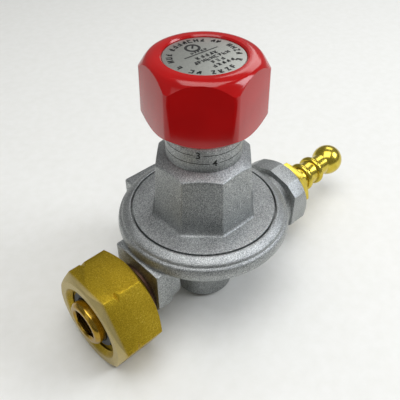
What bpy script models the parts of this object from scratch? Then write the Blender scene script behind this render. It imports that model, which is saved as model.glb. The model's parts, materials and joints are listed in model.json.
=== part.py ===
"""Adjustable high-pressure gas regulator.

A rolled-rim zinc body carries a bonnet with an eight-sided tower.  A red hexagon knob
turns a threaded adjusting screw in the bonnet's neck.  The screw loads a coil spring on
a rubber diaphragm, and the diaphragm works a small valve over the inlet.  A union nut
joins the inlet to a gas bottle and a beaded hose nozzle leaves on the other side.

Z is the knob's axis with 0 on the flat end of the bottom boss.  The outlet points to +X,
the inlet to -X and the blank side boss to +Y.
"""
import math

import bmesh
import bpy
from mathutils import Matrix, Vector

MM = 0.001

# ---------------------------------------------------------------- clearances
FIT = 0.2                 # radial gap between fitted round pieces
SEAT_GAP = 0.1            # gap between two faces that bear on each other
THREAD_GAP = 0.2          # radial gap between a male thread and its hole

# ---------------------------------------------------------------- levels
PORT_H = 15.4             # height of the inlet and outlet axis above the base face
FLANGE_H = 34.4           # height of the bonnet flange's top face

# ---------------------------------------------------------------- body
RIM_R = 27.4              # outside radius of the rolled rim
RIM_DEPTH = 6.2           # height of the rim's straight band
LIP_R = 23.1              # inner radius of the rolled lip
LIP_T = 1.1               # thickness of the lip over the bonnet flange
RECESS_R = 25.4           # recess that takes the bonnet flange and the diaphragm's rim
CAVITY_R = 19.6           # clear radius each side of the diaphragm
CHAMBER_DEPTH = 10.0      # chamber floor below the flange's top face
FLOOR_T = 2.2             # thickness of the chamber floor
DISH_R = 22.6             # radius of the body's flat underside
BOSS_R = 10.1             # closed bottom boss
BOSS_EDGE = 0.9
VALVE_BORE_R = 4.7        # blind bore for the valve, tapped at its upper end
VALVE_BORE_END = 2.9      # metal left under the valve bore
SEAT_POCKET_R = 7.0       # pocket in the floor for the valve seat's head
SEAT_POCKET_DEPTH = 1.4

# ---------------------------------------------------------------- inlet boss
INLET_FACE = 28.0         # inlet boss face from the main axis
INLET_BACK = 22.2
INLET_HALF_W = 10.0
INLET_TOP = 12.6          # boss top above the port axis
PORT_THREAD_R = 6.3       # G 1/4 male thread
INLET_TAP_DEPTH = 10.0
INLET_BORE_R = 1.6
RIB_R = 3.4               # rib around the inlet passage

# ---------------------------------------------------------------- outlet boss
OUTLET_FACE = 41.0
OUTLET_BACK = 33.5
OUTLET_HALF_W = 12.0
OUTLET_R = 13.9           # radius over the boss's ridge
OUTLET_FACE_R = 12.0      # radius of the turned end face
OUTLET_CHAMFER = 2.4
OUTLET_NECK_R = 10.5
OUTLET_TAP_DEPTH = 10.5
OUTLET_BORE_R = 2.5
RISER_X = 15.4            # drilling between the outlet passage and the chamber

# ---------------------------------------------------------------- side boss (blank)
SIDE_FACE = 33.3
SIDE_HALF_W = 7.0

# ---------------------------------------------------------------- bonnet
FLANGE_T = 4.6            # flange depth at its clamped edge
FLANGE_STEP = 1.5         # clamped edge below the flange's top face
DISC_R = 22.6             # raised disc inside the rolled lip
DISC_T = 2.2
TOWER_R_LOW = 16.2        # corner radius of the eight-sided tower at the flange
TOWER_R_TOP = 14.95       # and at its turned top
TOWER_H = 20.8            # foot of the neck above the flange
TOWER_TURN = 2.0          # height of the turned slope at the tower's top
NECK_R = 11.25
NECK_TOP = 38.5           # above the flange
SPRING_BORE_R = 10.4
SEAT_BORE_R = 9.5
SEAT_BORE_TOP = 23.4
BREATHER_R = 0.9
BREATHER_H = 6.0

# ---------------------------------------------------------------- adjusting screw
SCREW_R = 8.0             # M16 thread
SCREW_LOW = 19.4          # lower face above the flange
SCREW_TOP = 41.8
SPIGOT_R = 5.6            # corner radius of the hexagon that drives the screw
SPIGOT_TOP = 46.4
DIMPLE_R = 2.6

# ---------------------------------------------------------------- knob
KNOB_LOW = 30.0           # lower edge above the flange
KNOB_TOP = 50.8
KNOB_FLAT_LOW = 15.7      # half the width across flats at the corner's lower end
KNOB_FLAT_TOP = 15.3
KNOB_CORNER_FILLET = 2.2
KNOB_EDGE_LOW = 34.1      # corners' lower and upper ends
KNOB_EDGE_TOP = 46.9
KNOB_FOOT_R = 13.6
KNOB_CAVITY_R = NECK_R + 0.75
KNOB_CEILING = 46.2
KNOB_TURN = math.radians(-16.2)   # how the flats stand at rest
HUB_R = 7.8
LABEL_R = 11.0
LABEL_T = 0.5
LABEL_SINK = 0.6          # label face below the knob's top
CAP_SCREW_R = 4.0
CAP_SCREW_HEAD = 1.4
CAP_SCREW_SHANK_R = 2.2
CAP_SCREW_LEN = 9.0

# ---------------------------------------------------------------- spring and its seats
SPRING_WIRE_R = 1.1
SPRING_R = 6.9            # mean radius of the coil
SPRING_TURNS = 5.5
SPRING_SEAT_R = 9.0
SPRING_SEAT_T = 1.6
SPIGOT_INTO_SPRING = 2.0
PLATE_R = 12.4            # plate on top of the diaphragm
PLATE_T = 1.1
DIAPHRAGM_T = 1.0
CONVOLUTION_IN = 13.2
CONVOLUTION_RISE = 1.3
WASHER_R = 11.0           # plate under the diaphragm
WASHER_T = 1.2
RIVET_R = 1.9
RIVET_HEAD_R = 4.0
RIVET_FOOT_R = 3.0

# ---------------------------------------------------------------- valve
SEAT_HEAD_AF = 11.0
SEAT_HEAD_T = 1.5
SEAT_SHANK_LEN = 6.5
SEAT_ORIFICE_R = 1.6
SEAT_NOSE_R = 2.5
SEAT_NOSE_H = 0.8
SEAL_RING_T = 0.4
STEM_R = 0.9
VALVE_OPEN = 0.95         # pad below the seat at rest
PAD_R = 3.0
PAD_T = 1.2
PLUG_R = 3.6
PLUG_T = 2.3
TAIL_R = 2.0
TAIL_LEN = 3.2
VALVE_SPRING_R = 2.9
VALVE_SPRING_WIRE_R = 0.3
VALVE_SPRING_TURNS = 6.0

# ---------------------------------------------------------------- tailpiece and union nut
NUT_AF = 30.0
NUT_DROP = 1.0            # the loose nut hangs this much below the tailpiece's axis
NUT_BACK = 31.2
NUT_FRONT = 47.0
NUT_MARK = 40.85          # ring of notches across the corners
NUT_CHAMFER = 1.75        # length of the turned chamfer at each end
NUT_FACE_R = 0.48 * NUT_AF
NUT_TURN = math.radians(1.8)
NUT_MOUTH_R = 12.1
NUT_MOUTH_DEPTH = 1.5
NUT_THREAD_R = 10.6       # core of the 21.8 mm left-hand thread
NUT_SHOULDER = 36.0
NUT_NOTCH = 0.9           # depth of the left-hand marks on the corners
TAIL_FLANGE_R = 8.6       # flange that bears on the inlet boss
TAIL_FLANGE_T = 1.6
TAIL_SHANK_R = 7.2
COLLAR_R = 9.3
NOSE_R = 7.1
COLLAR_END = 42.5
NOSE_END = 48.8
SOCKET_AF = 8.5
SOCKET_END = 40.0
TAIL_BORE_R = 2.5
WASHER_GAP = 1.2          # room for the sealing washer behind the shank
FILTER_T = 1.2
SEAL_T = 3.1              # rubber ring around the nose
SEAL_R = 9.3

# ---------------------------------------------------------------- hose nozzle
NOZZLE_FLANGE_AF = 16.0
NOZZLE_FLANGE_T = 5.0
NOZZLE_TURN = math.radians(39.8)    # how far the nozzle was screwed round
NOZZLE_WASHER_T = 0.8
NOZZLE_WASHER_R = 8.8
NOZZLE_BORE_R = 2.3
CONE_R = 5.6              # foot of the neck at the hexagon
NECK_SHORT_R = 4.5        # neck up to the second bead
NECK_LONG_R = 4.15        # neck between the second bead and the ball
BEAD_R = 5.65             # beads that hold the hose
BEAD_ONE = 52.9           # middle of each bead from the main axis
BEAD_TWO = 59.3
BEAD_HALF_W = 1.3
BALL_R = 5.95             # rounded end
BALL_X = 69.6

COARSE = 24               # faces around a small, a middling and a large round piece
MEDIUM = 32
FINE = 48


# ================================================================ mesh helpers
def new_object(name, bm):
    """Close, orient and scale a bmesh drawn in millimetres."""
    bmesh.ops.remove_doubles(bm, verts=bm.verts, dist=1e-5)
    bmesh.ops.recalc_face_normals(bm, faces=bm.faces)
    bmesh.ops.scale(bm, vec=(MM, MM, MM), verts=bm.verts)
    mesh = bpy.data.meshes.new(name)
    bm.to_mesh(mesh)
    bm.free()
    obj = bpy.data.objects.new(name, mesh)
    bpy.context.scene.collection.objects.link(obj)
    return obj


def lathe(name, outline, seg, axis="Z", lift=0.0, turn=0.0):
    """Turn a closed (radius, height) outline about Z, or about +X or -X at port height."""
    bm = bmesh.new()
    rings = []
    for radius, height in outline:
        if radius < 1e-6:
            rings.append([bm.verts.new((0, 0, height + lift))])
            continue
        ring = []
        for i in range(seg):
            a = 2 * math.pi * i / seg + turn
            ring.append(bm.verts.new((radius * math.cos(a), radius * math.sin(a),
                                      height + lift)))
        rings.append(ring)
    for k, low in enumerate(rings):
        top = rings[(k + 1) % len(rings)]
        if len(low) == 1 and len(top) == 1:
            continue
        for i in range(seg):
            j = (i + 1) % seg
            corners = [low[i % len(low)], low[j % len(low)],
                       top[j % len(top)], top[i % len(top)]]
            bm.faces.new(list(dict.fromkeys(corners)))
    point_along(bm, axis)
    return new_object(name, bm)


def prism(name, outline, low, high, axis="Z", top_scale=1.0):
    """Raise a closed outline from one level to another, drawn in or out at its far end."""
    bm = bmesh.new()
    foot = [bm.verts.new((x, y, low)) for x, y in outline]
    head = [bm.verts.new((x * top_scale, y * top_scale, high)) for x, y in outline]
    bm.faces.new(foot[::-1])
    bm.faces.new(head)
    for i in range(len(foot)):
        j = (i + 1) % len(foot)
        bm.faces.new((foot[i], foot[j], head[j], head[i]))
    point_along(bm, axis)
    return new_object(name, bm)


def point_along(bm, axis):
    """Lay a piece drawn along Z on the port axis.  Outline x becomes height."""
    if axis == "Z":
        return
    if axis == "+X":
        rows = ((0, 0, 1), (0, -1, 0), (1, 0, 0))
    else:
        rows = ((0, 0, -1), (0, 1, 0), (1, 0, 0))
    turn = Matrix(rows).to_4x4()
    bmesh.ops.transform(bm, matrix=Matrix.Translation((0, 0, PORT_H)) @ turn, verts=bm.verts)


def polygon(sides, corner_r, turn=0.0):
    return [(corner_r * math.cos(turn + 2 * math.pi * i / sides),
             corner_r * math.sin(turn + 2 * math.pi * i / sides)) for i in range(sides)]


def rounded_polygon(sides, flat, fillet, steps, turn=0.0):
    """Polygon with a given half width across flats and filleted corners."""
    points = []
    half = math.pi / sides
    centre_r = (flat - fillet) / math.cos(half)
    for i in range(sides):
        mid = turn + 2 * math.pi * i / sides + half
        cx, cy = centre_r * math.cos(mid), centre_r * math.sin(mid)
        for s in range(steps + 1):
            a = mid - half + 2 * half * s / steps
            points.append((cx + fillet * math.cos(a), cy + fillet * math.sin(a)))
    return points


def combine(target, tool, how):
    """Boolean with the exact solver; the tool is used up."""
    mod = target.modifiers.new("combine", "BOOLEAN")
    mod.operation = how
    mod.solver = "EXACT"
    mod.object = tool
    graph = bpy.context.evaluated_depsgraph_get()
    mesh = bpy.data.meshes.new_from_object(target.evaluated_get(graph))
    target.modifiers.clear()
    target.data = mesh
    bpy.data.objects.remove(tool)
    return target


def join(target, tool):
    return combine(target, tool, "UNION")


def cut(target, tool):
    return combine(target, tool, "DIFFERENCE")


def keep_common(target, tool):
    return combine(target, tool, "INTERSECT")


def spring_coil(name, mean_r, wire_r, low, high, turns, per_turn, around):
    """Closed-end compression spring swept as one tube."""
    bm = bmesh.new()
    count = int(turns * per_turn)
    pitch_low = low + wire_r
    pitch_high = high - wire_r
    rings = []
    for i in range(count + 1):
        t = turns * i / count
        flat = 0.75
        mid = (t - flat) / (turns - 2 * flat)
        share = min(1.0, max(0.0, mid))
        closed = 2 * wire_r * 1.04 * flat
        z = pitch_low + share * (pitch_high - pitch_low - 2 * closed)
        z += closed * min(1.0, t / flat)
        z += closed * max(0.0, (t - turns + flat) / flat)
        a = 2 * math.pi * t
        ring = []
        for k in range(around):
            b = 2 * math.pi * k / around
            r = mean_r + wire_r * math.cos(b)
            ring.append(bm.verts.new((r * math.cos(a), r * math.sin(a),
                                      z + wire_r * math.sin(b))))
        rings.append(ring)
    bm.faces.new(rings[0][::-1])
    bm.faces.new(rings[-1])
    for low_ring, high_ring in zip(rings, rings[1:]):
        for k in range(around):
            m = (k + 1) % around
            bm.faces.new((low_ring[k], low_ring[m], high_ring[m], high_ring[k]))
    return new_object(name, bm)


def finish(obj, name, material, sharp=32, origin_h=0.0):
    """Name, material, smooth shading and an origin on the piece's own axis."""
    obj.name = name
    obj.data.name = name
    if origin_h:
        obj.data.transform(Matrix.Translation(Vector((0, 0, -origin_h * MM))))
        obj.location = (0, 0, origin_h * MM)
    obj.data.materials.clear()
    obj.data.materials.append(material)
    obj.data.shade_smooth()
    obj.data.set_sharp_from_angle(angle=math.radians(sharp))
    return obj


def make_material(name, colour, metallic, roughness):
    mat = bpy.data.materials.new(name)
    mat.use_nodes = True
    shader = mat.node_tree.nodes["Principled BSDF"]
    shader.inputs["Base Color"].default_value = (*colour, 1)
    shader.inputs["Metallic"].default_value = metallic
    shader.inputs["Roughness"].default_value = roughness
    return mat


# ================================================================ body
def body_outline():
    """Half section of the rolled rim, dish and bottom boss, still solid."""
    f = FLANGE_H
    under = f - CHAMBER_DEPTH - FLOOR_T
    return [
        (0, 0), (BOSS_R - BOSS_EDGE, 0), (BOSS_R, BOSS_EDGE), (BOSS_R, under - 1.6),
        (BOSS_R + 0.5, under - 0.5), (BOSS_R + 1.6, under), (DISH_R, under),
        (DISH_R + 1.6, under + 1.7), (RIM_R - 0.7, f - RIM_DEPTH - 0.9),
        (RIM_R, f - RIM_DEPTH), (RIM_R, f - 3.6), (RIM_R - 0.25, f - 2.7),
        (RIM_R - 1.0, f - 1.9), (RIM_R - 2.4, f - 0.8), (LIP_R + 0.9, f - 0.1),
        (LIP_R + 0.25, f - 0.05), (0, f - 0.05),
    ]


def chamber_outline():
    """Everything hollowed from above: lip, recess, chamber, seat pocket and valve bore."""
    f = FLANGE_H
    floor = f - CHAMBER_DEPTH
    step = f - FLANGE_T - DIAPHRAGM_T - 2 * FIT
    return [
        (0, VALVE_BORE_END - 1.0), (VALVE_BORE_R, VALVE_BORE_END),
        (VALVE_BORE_R, floor - SEAT_POCKET_DEPTH), (SEAT_POCKET_R, floor - SEAT_POCKET_DEPTH),
        (SEAT_POCKET_R, floor), (CAVITY_R - 0.6, floor), (CAVITY_R, step - 0.6),
        (CAVITY_R + 0.6, step), (RECESS_R, step), (RECESS_R, f - LIP_T - 0.2),
        (LIP_R, f - LIP_T - 0.2), (LIP_R, f - 0.3), (LIP_R + 0.3, f + 0.1),
        (LIP_R + 0.3, f + 2), (0, f + 2),
    ]


def shield(half_w, top, side_low, foot_w, foot):
    """Section of a casting boss seen along the port axis as (height, sideways)."""
    corner = 1.2
    return [
        (top, half_w - corner), (top - corner, half_w), (side_low, half_w), (foot, foot_w),
        (foot, -foot_w), (side_low, -half_w), (top - corner, -half_w), (top, -half_w + corner),
    ]


def inlet_boss():
    """Square boss, the tapped barrel behind it and the rib around the passage."""
    boss = prism("boss", shield(INLET_HALF_W, INLET_TOP, -2.0, 3.4, -10.0),
                 INLET_BACK, INLET_FACE, "-X")
    barrel = lathe("barrel", [(0, 17.4), (8.2, 17.4), (8.2, INLET_BACK + 1), (0, INLET_BACK + 1)],
                   COARSE, "-X")
    rib = prism("rib", rib_section(RIB_R, 8.0), 6.0, INLET_BACK + 0.6, "-X")
    return [boss, barrel, rib]


def rib_section(radius, height):
    """Flat-topped section with a round lower edge."""
    points = [(height, radius), (0, radius)]
    for i in range(1, 7):
        a = math.pi * i / 7
        points.append((-radius * math.sin(a), radius * math.cos(a)))
    return points + [(0, -radius), (height, -radius)]


def outlet_boss():
    """Ridged boss with wrench flats and a turned end, its neck and its rib."""
    w = OUTLET_HALF_W
    section = [
        (OUTLET_R, 0), (11.9, 7.8), (8.3, w - 0.1), (-4.4, w), (-12.3, 5.0),
        (-12.3, -5.0), (-4.4, -w), (8.3, -w + 0.1), (11.9, -7.8),
    ]
    boss = prism("boss", section, OUTLET_BACK - 0.4, OUTLET_FACE, "+X")
    turned = lathe("turned", [
        (0, OUTLET_BACK - 2), (16, OUTLET_BACK - 2), (16, OUTLET_FACE - OUTLET_CHAMFER - 1.6),
        (OUTLET_R + 0.5, OUTLET_FACE - OUTLET_CHAMFER), (OUTLET_FACE_R, OUTLET_FACE),
        (0, OUTLET_FACE),
    ], FINE, "+X")
    keep_common(boss, turned)
    neck = lathe("neck", [
        (0, 23.0), (OUTLET_NECK_R - 1.5, 23.0), (OUTLET_NECK_R, 26.0),
        (OUTLET_R - 2.4, OUTLET_BACK), (0, OUTLET_BACK),
    ], MEDIUM, "+X")
    rib = prism("rib", rib_section(5.2, 8.0), 6.0, 25.0, "+X")
    return [boss, neck, rib]


def side_boss():
    """Blank boss for a gauge, left uncut, on the body's +Y side."""
    top = FLANGE_H - 6.4
    w = SIDE_HALF_W
    section = [(w, top - 17.0), (w, top - 0.9), (w - 0.9, top), (0.9 - w, top),
               (-w, top - 0.9), (-w, top - 17.0), (-3.5, top - 20.0), (3.5, top - 20.0)]
    bm = bmesh.new()
    near = [bm.verts.new((x, 20.0, z)) for x, z in section]
    far = [bm.verts.new((x, SIDE_FACE, z)) for x, z in section]
    bm.faces.new(near)
    bm.faces.new(far[::-1])
    for i in range(len(near)):
        j = (i + 1) % len(near)
        bm.faces.new((near[i], far[i], far[j], near[j]))
    return new_object("side", bm)


def side_rib():
    """Web between the bottom boss and the blank side boss."""
    rib = prism("rib", [(-3.9, 5.0), (3.9, 5.0), (3.9, 20.8), (-3.9, 20.8)],
                FLANGE_H - 22.0, FLANGE_H - CHAMBER_DEPTH - 1.0)
    return rib


def build_body(material):
    body = lathe("body", body_outline(), FINE)
    for piece in inlet_boss() + outlet_boss() + [side_boss(), side_rib()]:
        join(body, piece)
    cut(body, lathe("chamber", chamber_outline(), FINE))
    floor = FLANGE_H - CHAMBER_DEPTH
    inlet = lathe("bore", [
        (0, 2.0), (INLET_BORE_R, 2.0), (INLET_BORE_R, INLET_FACE - INLET_TAP_DEPTH),
        (PORT_THREAD_R + THREAD_GAP, INLET_FACE - INLET_TAP_DEPTH),
        (PORT_THREAD_R + THREAD_GAP, INLET_FACE - 0.4),
        (PORT_THREAD_R + THREAD_GAP + 0.9, INLET_FACE + 0.5), (0, INLET_FACE + 0.5),
    ], COARSE, "-X")
    cut(body, inlet)
    outlet = lathe("bore", [
        (0, RISER_X - OUTLET_BORE_R), (OUTLET_BORE_R, RISER_X - OUTLET_BORE_R),
        (OUTLET_BORE_R, OUTLET_FACE - OUTLET_TAP_DEPTH),
        (PORT_THREAD_R + THREAD_GAP, OUTLET_FACE - OUTLET_TAP_DEPTH),
        (PORT_THREAD_R + THREAD_GAP, OUTLET_FACE - 0.4),
        (PORT_THREAD_R + THREAD_GAP + 0.9, OUTLET_FACE + 0.5), (0, OUTLET_FACE + 0.5),
    ], COARSE, "+X")
    cut(body, outlet)
    riser = lathe("riser", [(0, PORT_H - 0.7), (OUTLET_BORE_R - 0.1, PORT_H - 0.7),
                            (OUTLET_BORE_R - 0.1, floor + 1), (0, floor + 1)], COARSE)
    riser.data.transform(Matrix.Translation((RISER_X * MM, 0, 0)))
    cut(body, riser)
    return finish(body, "body", material)


# ================================================================ bonnet
def build_bonnet(material):
    f = FLANGE_H
    disc = lathe("bonnet", [
        (0, f - DISC_T), (CAVITY_R - 3.0, f - DISC_T), (CAVITY_R - 0.1, f - FLANGE_T + 0.8),
        (CAVITY_R - 0.1, f - FLANGE_T), (RECESS_R - 1.5 * FIT, f - FLANGE_T),
        (RECESS_R - 1.5 * FIT, f - FLANGE_STEP), (DISC_R, f - FLANGE_STEP),
        (DISC_R, f - 0.2), (DISC_R - 0.25, f), (0, f),
    ], FINE)
    tower = prism("tower", polygon(8, TOWER_R_LOW, math.pi / 8), f - 1.0, f + TOWER_H,
                  top_scale=TOWER_R_TOP / TOWER_R_LOW)
    slope = (TOWER_R_TOP - NECK_R) / TOWER_TURN
    low = TOWER_H - TOWER_TURN
    turned = lathe("turned", [
        (0, f - 2), (TOWER_R_LOW + 3, f - 2),
        (TOWER_R_LOW + 3, f + low - (TOWER_R_LOW + 3 - TOWER_R_TOP) / slope),
        (NECK_R, f + TOWER_H), (0, f + TOWER_H),
    ], FINE)
    keep_common(tower, turned)
    join(disc, tower)
    neck = [(0, f + 10), (NECK_R, f + 10), (NECK_R, f + NECK_TOP - 0.6),
            (NECK_R - 0.6, f + NECK_TOP), (0, f + NECK_TOP)]
    join(disc, lathe("neck", neck, FINE))
    thread = SCREW_R + THREAD_GAP
    bore = lathe("bore", [
        (0, f - 6), (SPRING_BORE_R + 0.9, f - 6), (SPRING_BORE_R + 0.9, f - DISC_T),
        (SPRING_BORE_R, f + 1.0), (SPRING_BORE_R, f + 8.0),
        (SEAT_BORE_R, f + 8.9), (SEAT_BORE_R, f + SEAT_BORE_TOP - 1.0),
        (thread, f + SEAT_BORE_TOP), (thread, f + NECK_TOP - 0.8),
        (thread + 0.9, f + NECK_TOP + 0.1), (thread + 0.9, f + NECK_TOP + 1),
        (0, f + NECK_TOP + 1),
    ], MEDIUM)
    cut(disc, bore)
    breather = lathe("breather", [(0, 8.0), (BREATHER_R, 8.0), (BREATHER_R, 18.0), (0, 18.0)],
                     16, "+X")
    breather.data.transform(Matrix.Translation((0, 0, (f + BREATHER_H - PORT_H) * MM)))
    breather.data.transform(Matrix.Rotation(math.radians(45), 4, "Z"))
    cut(disc, breather)
    return finish(disc, "bonnet", material)


# ================================================================ knob group
def build_knob(material):
    f = FLANGE_H
    turn = KNOB_TURN
    flat_low = KNOB_FLAT_LOW
    grow = KNOB_FLAT_TOP / KNOB_FLAT_LOW
    knob = prism("knob", rounded_polygon(6, flat_low, KNOB_CORNER_FILLET, 5, turn),
                 f + KNOB_LOW - 1, f + KNOB_TOP + 1, top_scale=grow)
    corner = KNOB_FLAT_LOW / math.cos(math.pi / 6) - 0.155 * KNOB_CORNER_FILLET
    rise = KNOB_EDGE_LOW - KNOB_LOW
    foot_slope = (corner - KNOB_FOOT_R) / rise
    top_corner = corner * grow
    turned = lathe("turned", [
        (0, f + KNOB_LOW), (KNOB_FOOT_R - 0.4, f + KNOB_LOW),
        (KNOB_FOOT_R, f + KNOB_LOW + 0.3),
        (corner + 1.0, f + KNOB_EDGE_LOW + 1.0 / foot_slope),
        (top_corner + 1.0, f + KNOB_EDGE_TOP - 1.6),
        (top_corner, f + KNOB_EDGE_TOP), (KNOB_FLAT_TOP + 0.55, f + KNOB_TOP - 1.6),
        (KNOB_FLAT_TOP - 0.25, f + KNOB_TOP - 0.75), (KNOB_FLAT_TOP - 1.3, f + KNOB_TOP - 0.15),
        (KNOB_FLAT_TOP - 2.3, f + KNOB_TOP), (0, f + KNOB_TOP),
    ], FINE)
    keep_common(knob, turned)
    recess = f + KNOB_TOP - LABEL_SINK - LABEL_T - SEAT_GAP
    cut(knob, lathe("recess", [
        (0, recess), (LABEL_R + 0.15, recess), (LABEL_R + 0.15, f + KNOB_TOP - 0.5),
        (LABEL_R + 0.7, f + KNOB_TOP + 0.05), (LABEL_R + 0.7, f + KNOB_TOP + 1),
        (0, f + KNOB_TOP + 1),
    ], FINE))
    cavity = lathe("cavity", [
        (HUB_R, f + KNOB_LOW - 1), (KNOB_CAVITY_R + 0.3, f + KNOB_LOW - 1),
        (KNOB_CAVITY_R + 0.3, f + KNOB_LOW), (KNOB_CAVITY_R, f + KNOB_LOW + 0.6),
        (KNOB_CAVITY_R, f + KNOB_CEILING), (HUB_R, f + KNOB_CEILING),
    ], MEDIUM)
    cut(knob, cavity)
    hub = SCREW_TOP + SEAT_GAP
    cut(knob, lathe("hub", [(0, f + KNOB_LOW - 2), (HUB_R + 0.5, f + KNOB_LOW - 2),
                            (HUB_R + 0.5, f + hub), (0, f + hub)], MEDIUM))
    cut(knob, prism("socket", polygon(6, SPIGOT_R + 0.25, turn), f + hub - 1,
                    f + SPIGOT_TOP + 2 * SEAT_GAP))
    head = recess - CAP_SCREW_HEAD - 0.2
    cut(knob, lathe("screw hole", [
        (0, f + hub), (CAP_SCREW_SHANK_R + 0.2, f + hub), (CAP_SCREW_SHANK_R + 0.2, head),
        (CAP_SCREW_R + FIT, head), (CAP_SCREW_R + FIT, recess + 0.5), (0, recess + 0.5),
    ], COARSE))
    return finish(knob, "knob", material)


def build_label(material):
    low = FLANGE_H + KNOB_TOP - LABEL_SINK - LABEL_T
    label = lathe("label", [(0, low), (LABEL_R, low), (LABEL_R, low + LABEL_T),
                            (0, low + LABEL_T)], FINE)
    return finish(label, "label_disc", material)


def build_cap_screw(material):
    """Screw under the label that holds the knob on the adjusting screw."""
    recess = FLANGE_H + KNOB_TOP - LABEL_SINK - LABEL_T - SEAT_GAP
    under = recess - CAP_SCREW_HEAD - 0.1
    top = recess - 0.1
    screw = lathe("cap", [
        (0, under - CAP_SCREW_LEN), (CAP_SCREW_SHANK_R - 0.4, under - CAP_SCREW_LEN),
        (CAP_SCREW_SHANK_R, under - CAP_SCREW_LEN + 0.4), (CAP_SCREW_SHANK_R, under),
        (CAP_SCREW_R, under), (CAP_SCREW_R, top - 0.4), (CAP_SCREW_R - 0.4, top), (0, top),
    ], COARSE)
    for quarter in (0, 1):
        blade = prism("slot", [(-2.2, -0.35), (2.2, -0.35), (2.2, 0.35), (-2.2, 0.35)],
                      top - 0.8, top + 0.5)
        blade.data.transform(Matrix.Rotation(quarter * math.pi / 2, 4, "Z"))
        cut(screw, blade)
    return finish(screw, "knob_screw", material)


def build_adjusting_screw(material):
    f = FLANGE_H
    r = SCREW_R
    core = r - 0.9
    screw = lathe("adjuster", [
        (0, f + SCREW_LOW + 1.5), (DIMPLE_R, f + SCREW_LOW), (core, f + SCREW_LOW),
        (r, f + SCREW_LOW + 0.9), (r, f + SCREW_TOP - 1.2), (core, f + SCREW_TOP - 0.3),
        (core, f + SCREW_TOP), (0, f + SCREW_TOP),
    ], MEDIUM)
    join(screw, prism("spigot", polygon(6, SPIGOT_R, KNOB_TURN), f + SCREW_TOP - 1,
                      f + SPIGOT_TOP))
    head = KNOB_TOP - LABEL_SINK - LABEL_T - SEAT_GAP - CAP_SCREW_HEAD - 0.1
    tap = CAP_SCREW_SHANK_R + THREAD_GAP
    cut(screw, lathe("tap", [
        (0, f + head - CAP_SCREW_LEN - 1.5), (tap, f + head - CAP_SCREW_LEN - 0.5),
        (tap, f + SPIGOT_TOP + 1), (0, f + SPIGOT_TOP + 1),
    ], COARSE))
    return finish(screw, "adjusting_screw", material)


# ================================================================ spring and diaphragm
def spring_low():
    return FLANGE_H - FLANGE_T + SEAT_GAP + PLATE_T + SEAT_GAP


def spring_high():
    return FLANGE_H + SCREW_LOW - 2 * FIT - SPRING_SEAT_T - SEAT_GAP


def build_spring_seat(material):
    f = FLANGE_H
    top = f + SCREW_LOW - 2 * FIT
    under = top - SPRING_SEAT_T
    spigot = SPRING_R - SPRING_WIRE_R - FIT
    seat = lathe("seat", [
        (0, under - SPIGOT_INTO_SPRING), (spigot - 0.6, under - SPIGOT_INTO_SPRING),
        (spigot, under - SPIGOT_INTO_SPRING + 0.6), (spigot, under),
        (SPRING_SEAT_R, under), (SPRING_SEAT_R, top - 0.3), (SPRING_SEAT_R - 0.3, top),
        (DIMPLE_R - 0.4, top), (0.5, top + 1.25), (0, top + 1.4),
    ], MEDIUM)
    return finish(seat, "spring_seat", material)


def build_adjusting_spring(material):
    spring = spring_coil("spring", SPRING_R, SPRING_WIRE_R, spring_low(), spring_high(),
                         SPRING_TURNS, 18, 6)
    return finish(spring, "adjusting_spring", material, sharp=60)


def build_diaphragm_plate(material):
    low = FLANGE_H - FLANGE_T + SEAT_GAP
    top = low + PLATE_T
    guide = SPRING_R + SPRING_WIRE_R + FIT
    plate = lathe("plate", [
        (RIVET_R + FIT, low), (PLATE_R, low), (PLATE_R, top - 0.3), (PLATE_R - 0.3, top),
        (guide + 0.9, top), (guide + 0.8, top + 1.0), (guide + 0.1, top + 1.0), (guide, top),
        (RIVET_R + FIT, top),
    ], MEDIUM)
    return finish(plate, "diaphragm_plate", material)


def build_diaphragm(material):
    """Rubber sheet with one raised convolution, clamped under the bonnet flange."""
    top = FLANGE_H - FLANGE_T - FIT
    low = top - DIAPHRAGM_T
    hole = RIVET_R + FIT
    out = RECESS_R - FIT - 0.1
    a, b = CONVOLUTION_IN, CAVITY_R - 0.6
    upper, lower = [], []
    for i in range(1, 8):
        t = i / 8
        rise = CONVOLUTION_RISE * math.sin(math.pi * t)
        upper.append((a + (b - a) * t, top + rise))
        lower.append((a + (b - a) * t, low + rise))
    outline = [(hole, top), (a, top)] + upper + [(b, top), (out, top), (out, low), (b, low)]
    outline += lower[::-1] + [(a, low), (hole, low)]
    return finish(lathe("sheet", outline, MEDIUM), "diaphragm", material)


def build_backing_plate(material):
    top = FLANGE_H - FLANGE_T - FIT - DIAPHRAGM_T - FIT
    low = top - WASHER_T
    washer = lathe("backing", [
        (RIVET_R + FIT, low), (WASHER_R - 0.4, low), (WASHER_R, low + 0.4), (WASHER_R, top),
        (RIVET_R + FIT, top),
    ], MEDIUM)
    return finish(washer, "backing_plate", material)


def rivet_foot():
    """Level of the rivet's lower face, which works the valve stem."""
    backing = FLANGE_H - FLANGE_T - 2 * FIT - DIAPHRAGM_T - WASHER_T
    return backing - SEAT_GAP - 1.0


def build_rivet(material):
    plate_top = FLANGE_H - FLANGE_T + SEAT_GAP + PLATE_T
    foot = rivet_foot()
    rivet = lathe("rivet", [
        (0, foot), (RIVET_FOOT_R - 0.4, foot), (RIVET_FOOT_R, foot + 0.4),
        (RIVET_FOOT_R, foot + 1.0), (RIVET_R, foot + 1.0), (RIVET_R, plate_top + SEAT_GAP),
        (RIVET_HEAD_R, plate_top + SEAT_GAP), (RIVET_HEAD_R, plate_top + 0.9),
        (RIVET_HEAD_R - 0.6, plate_top + 1.5), (0, plate_top + 1.5),
    ], COARSE)
    return finish(rivet, "diaphragm_rivet", material)


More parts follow.
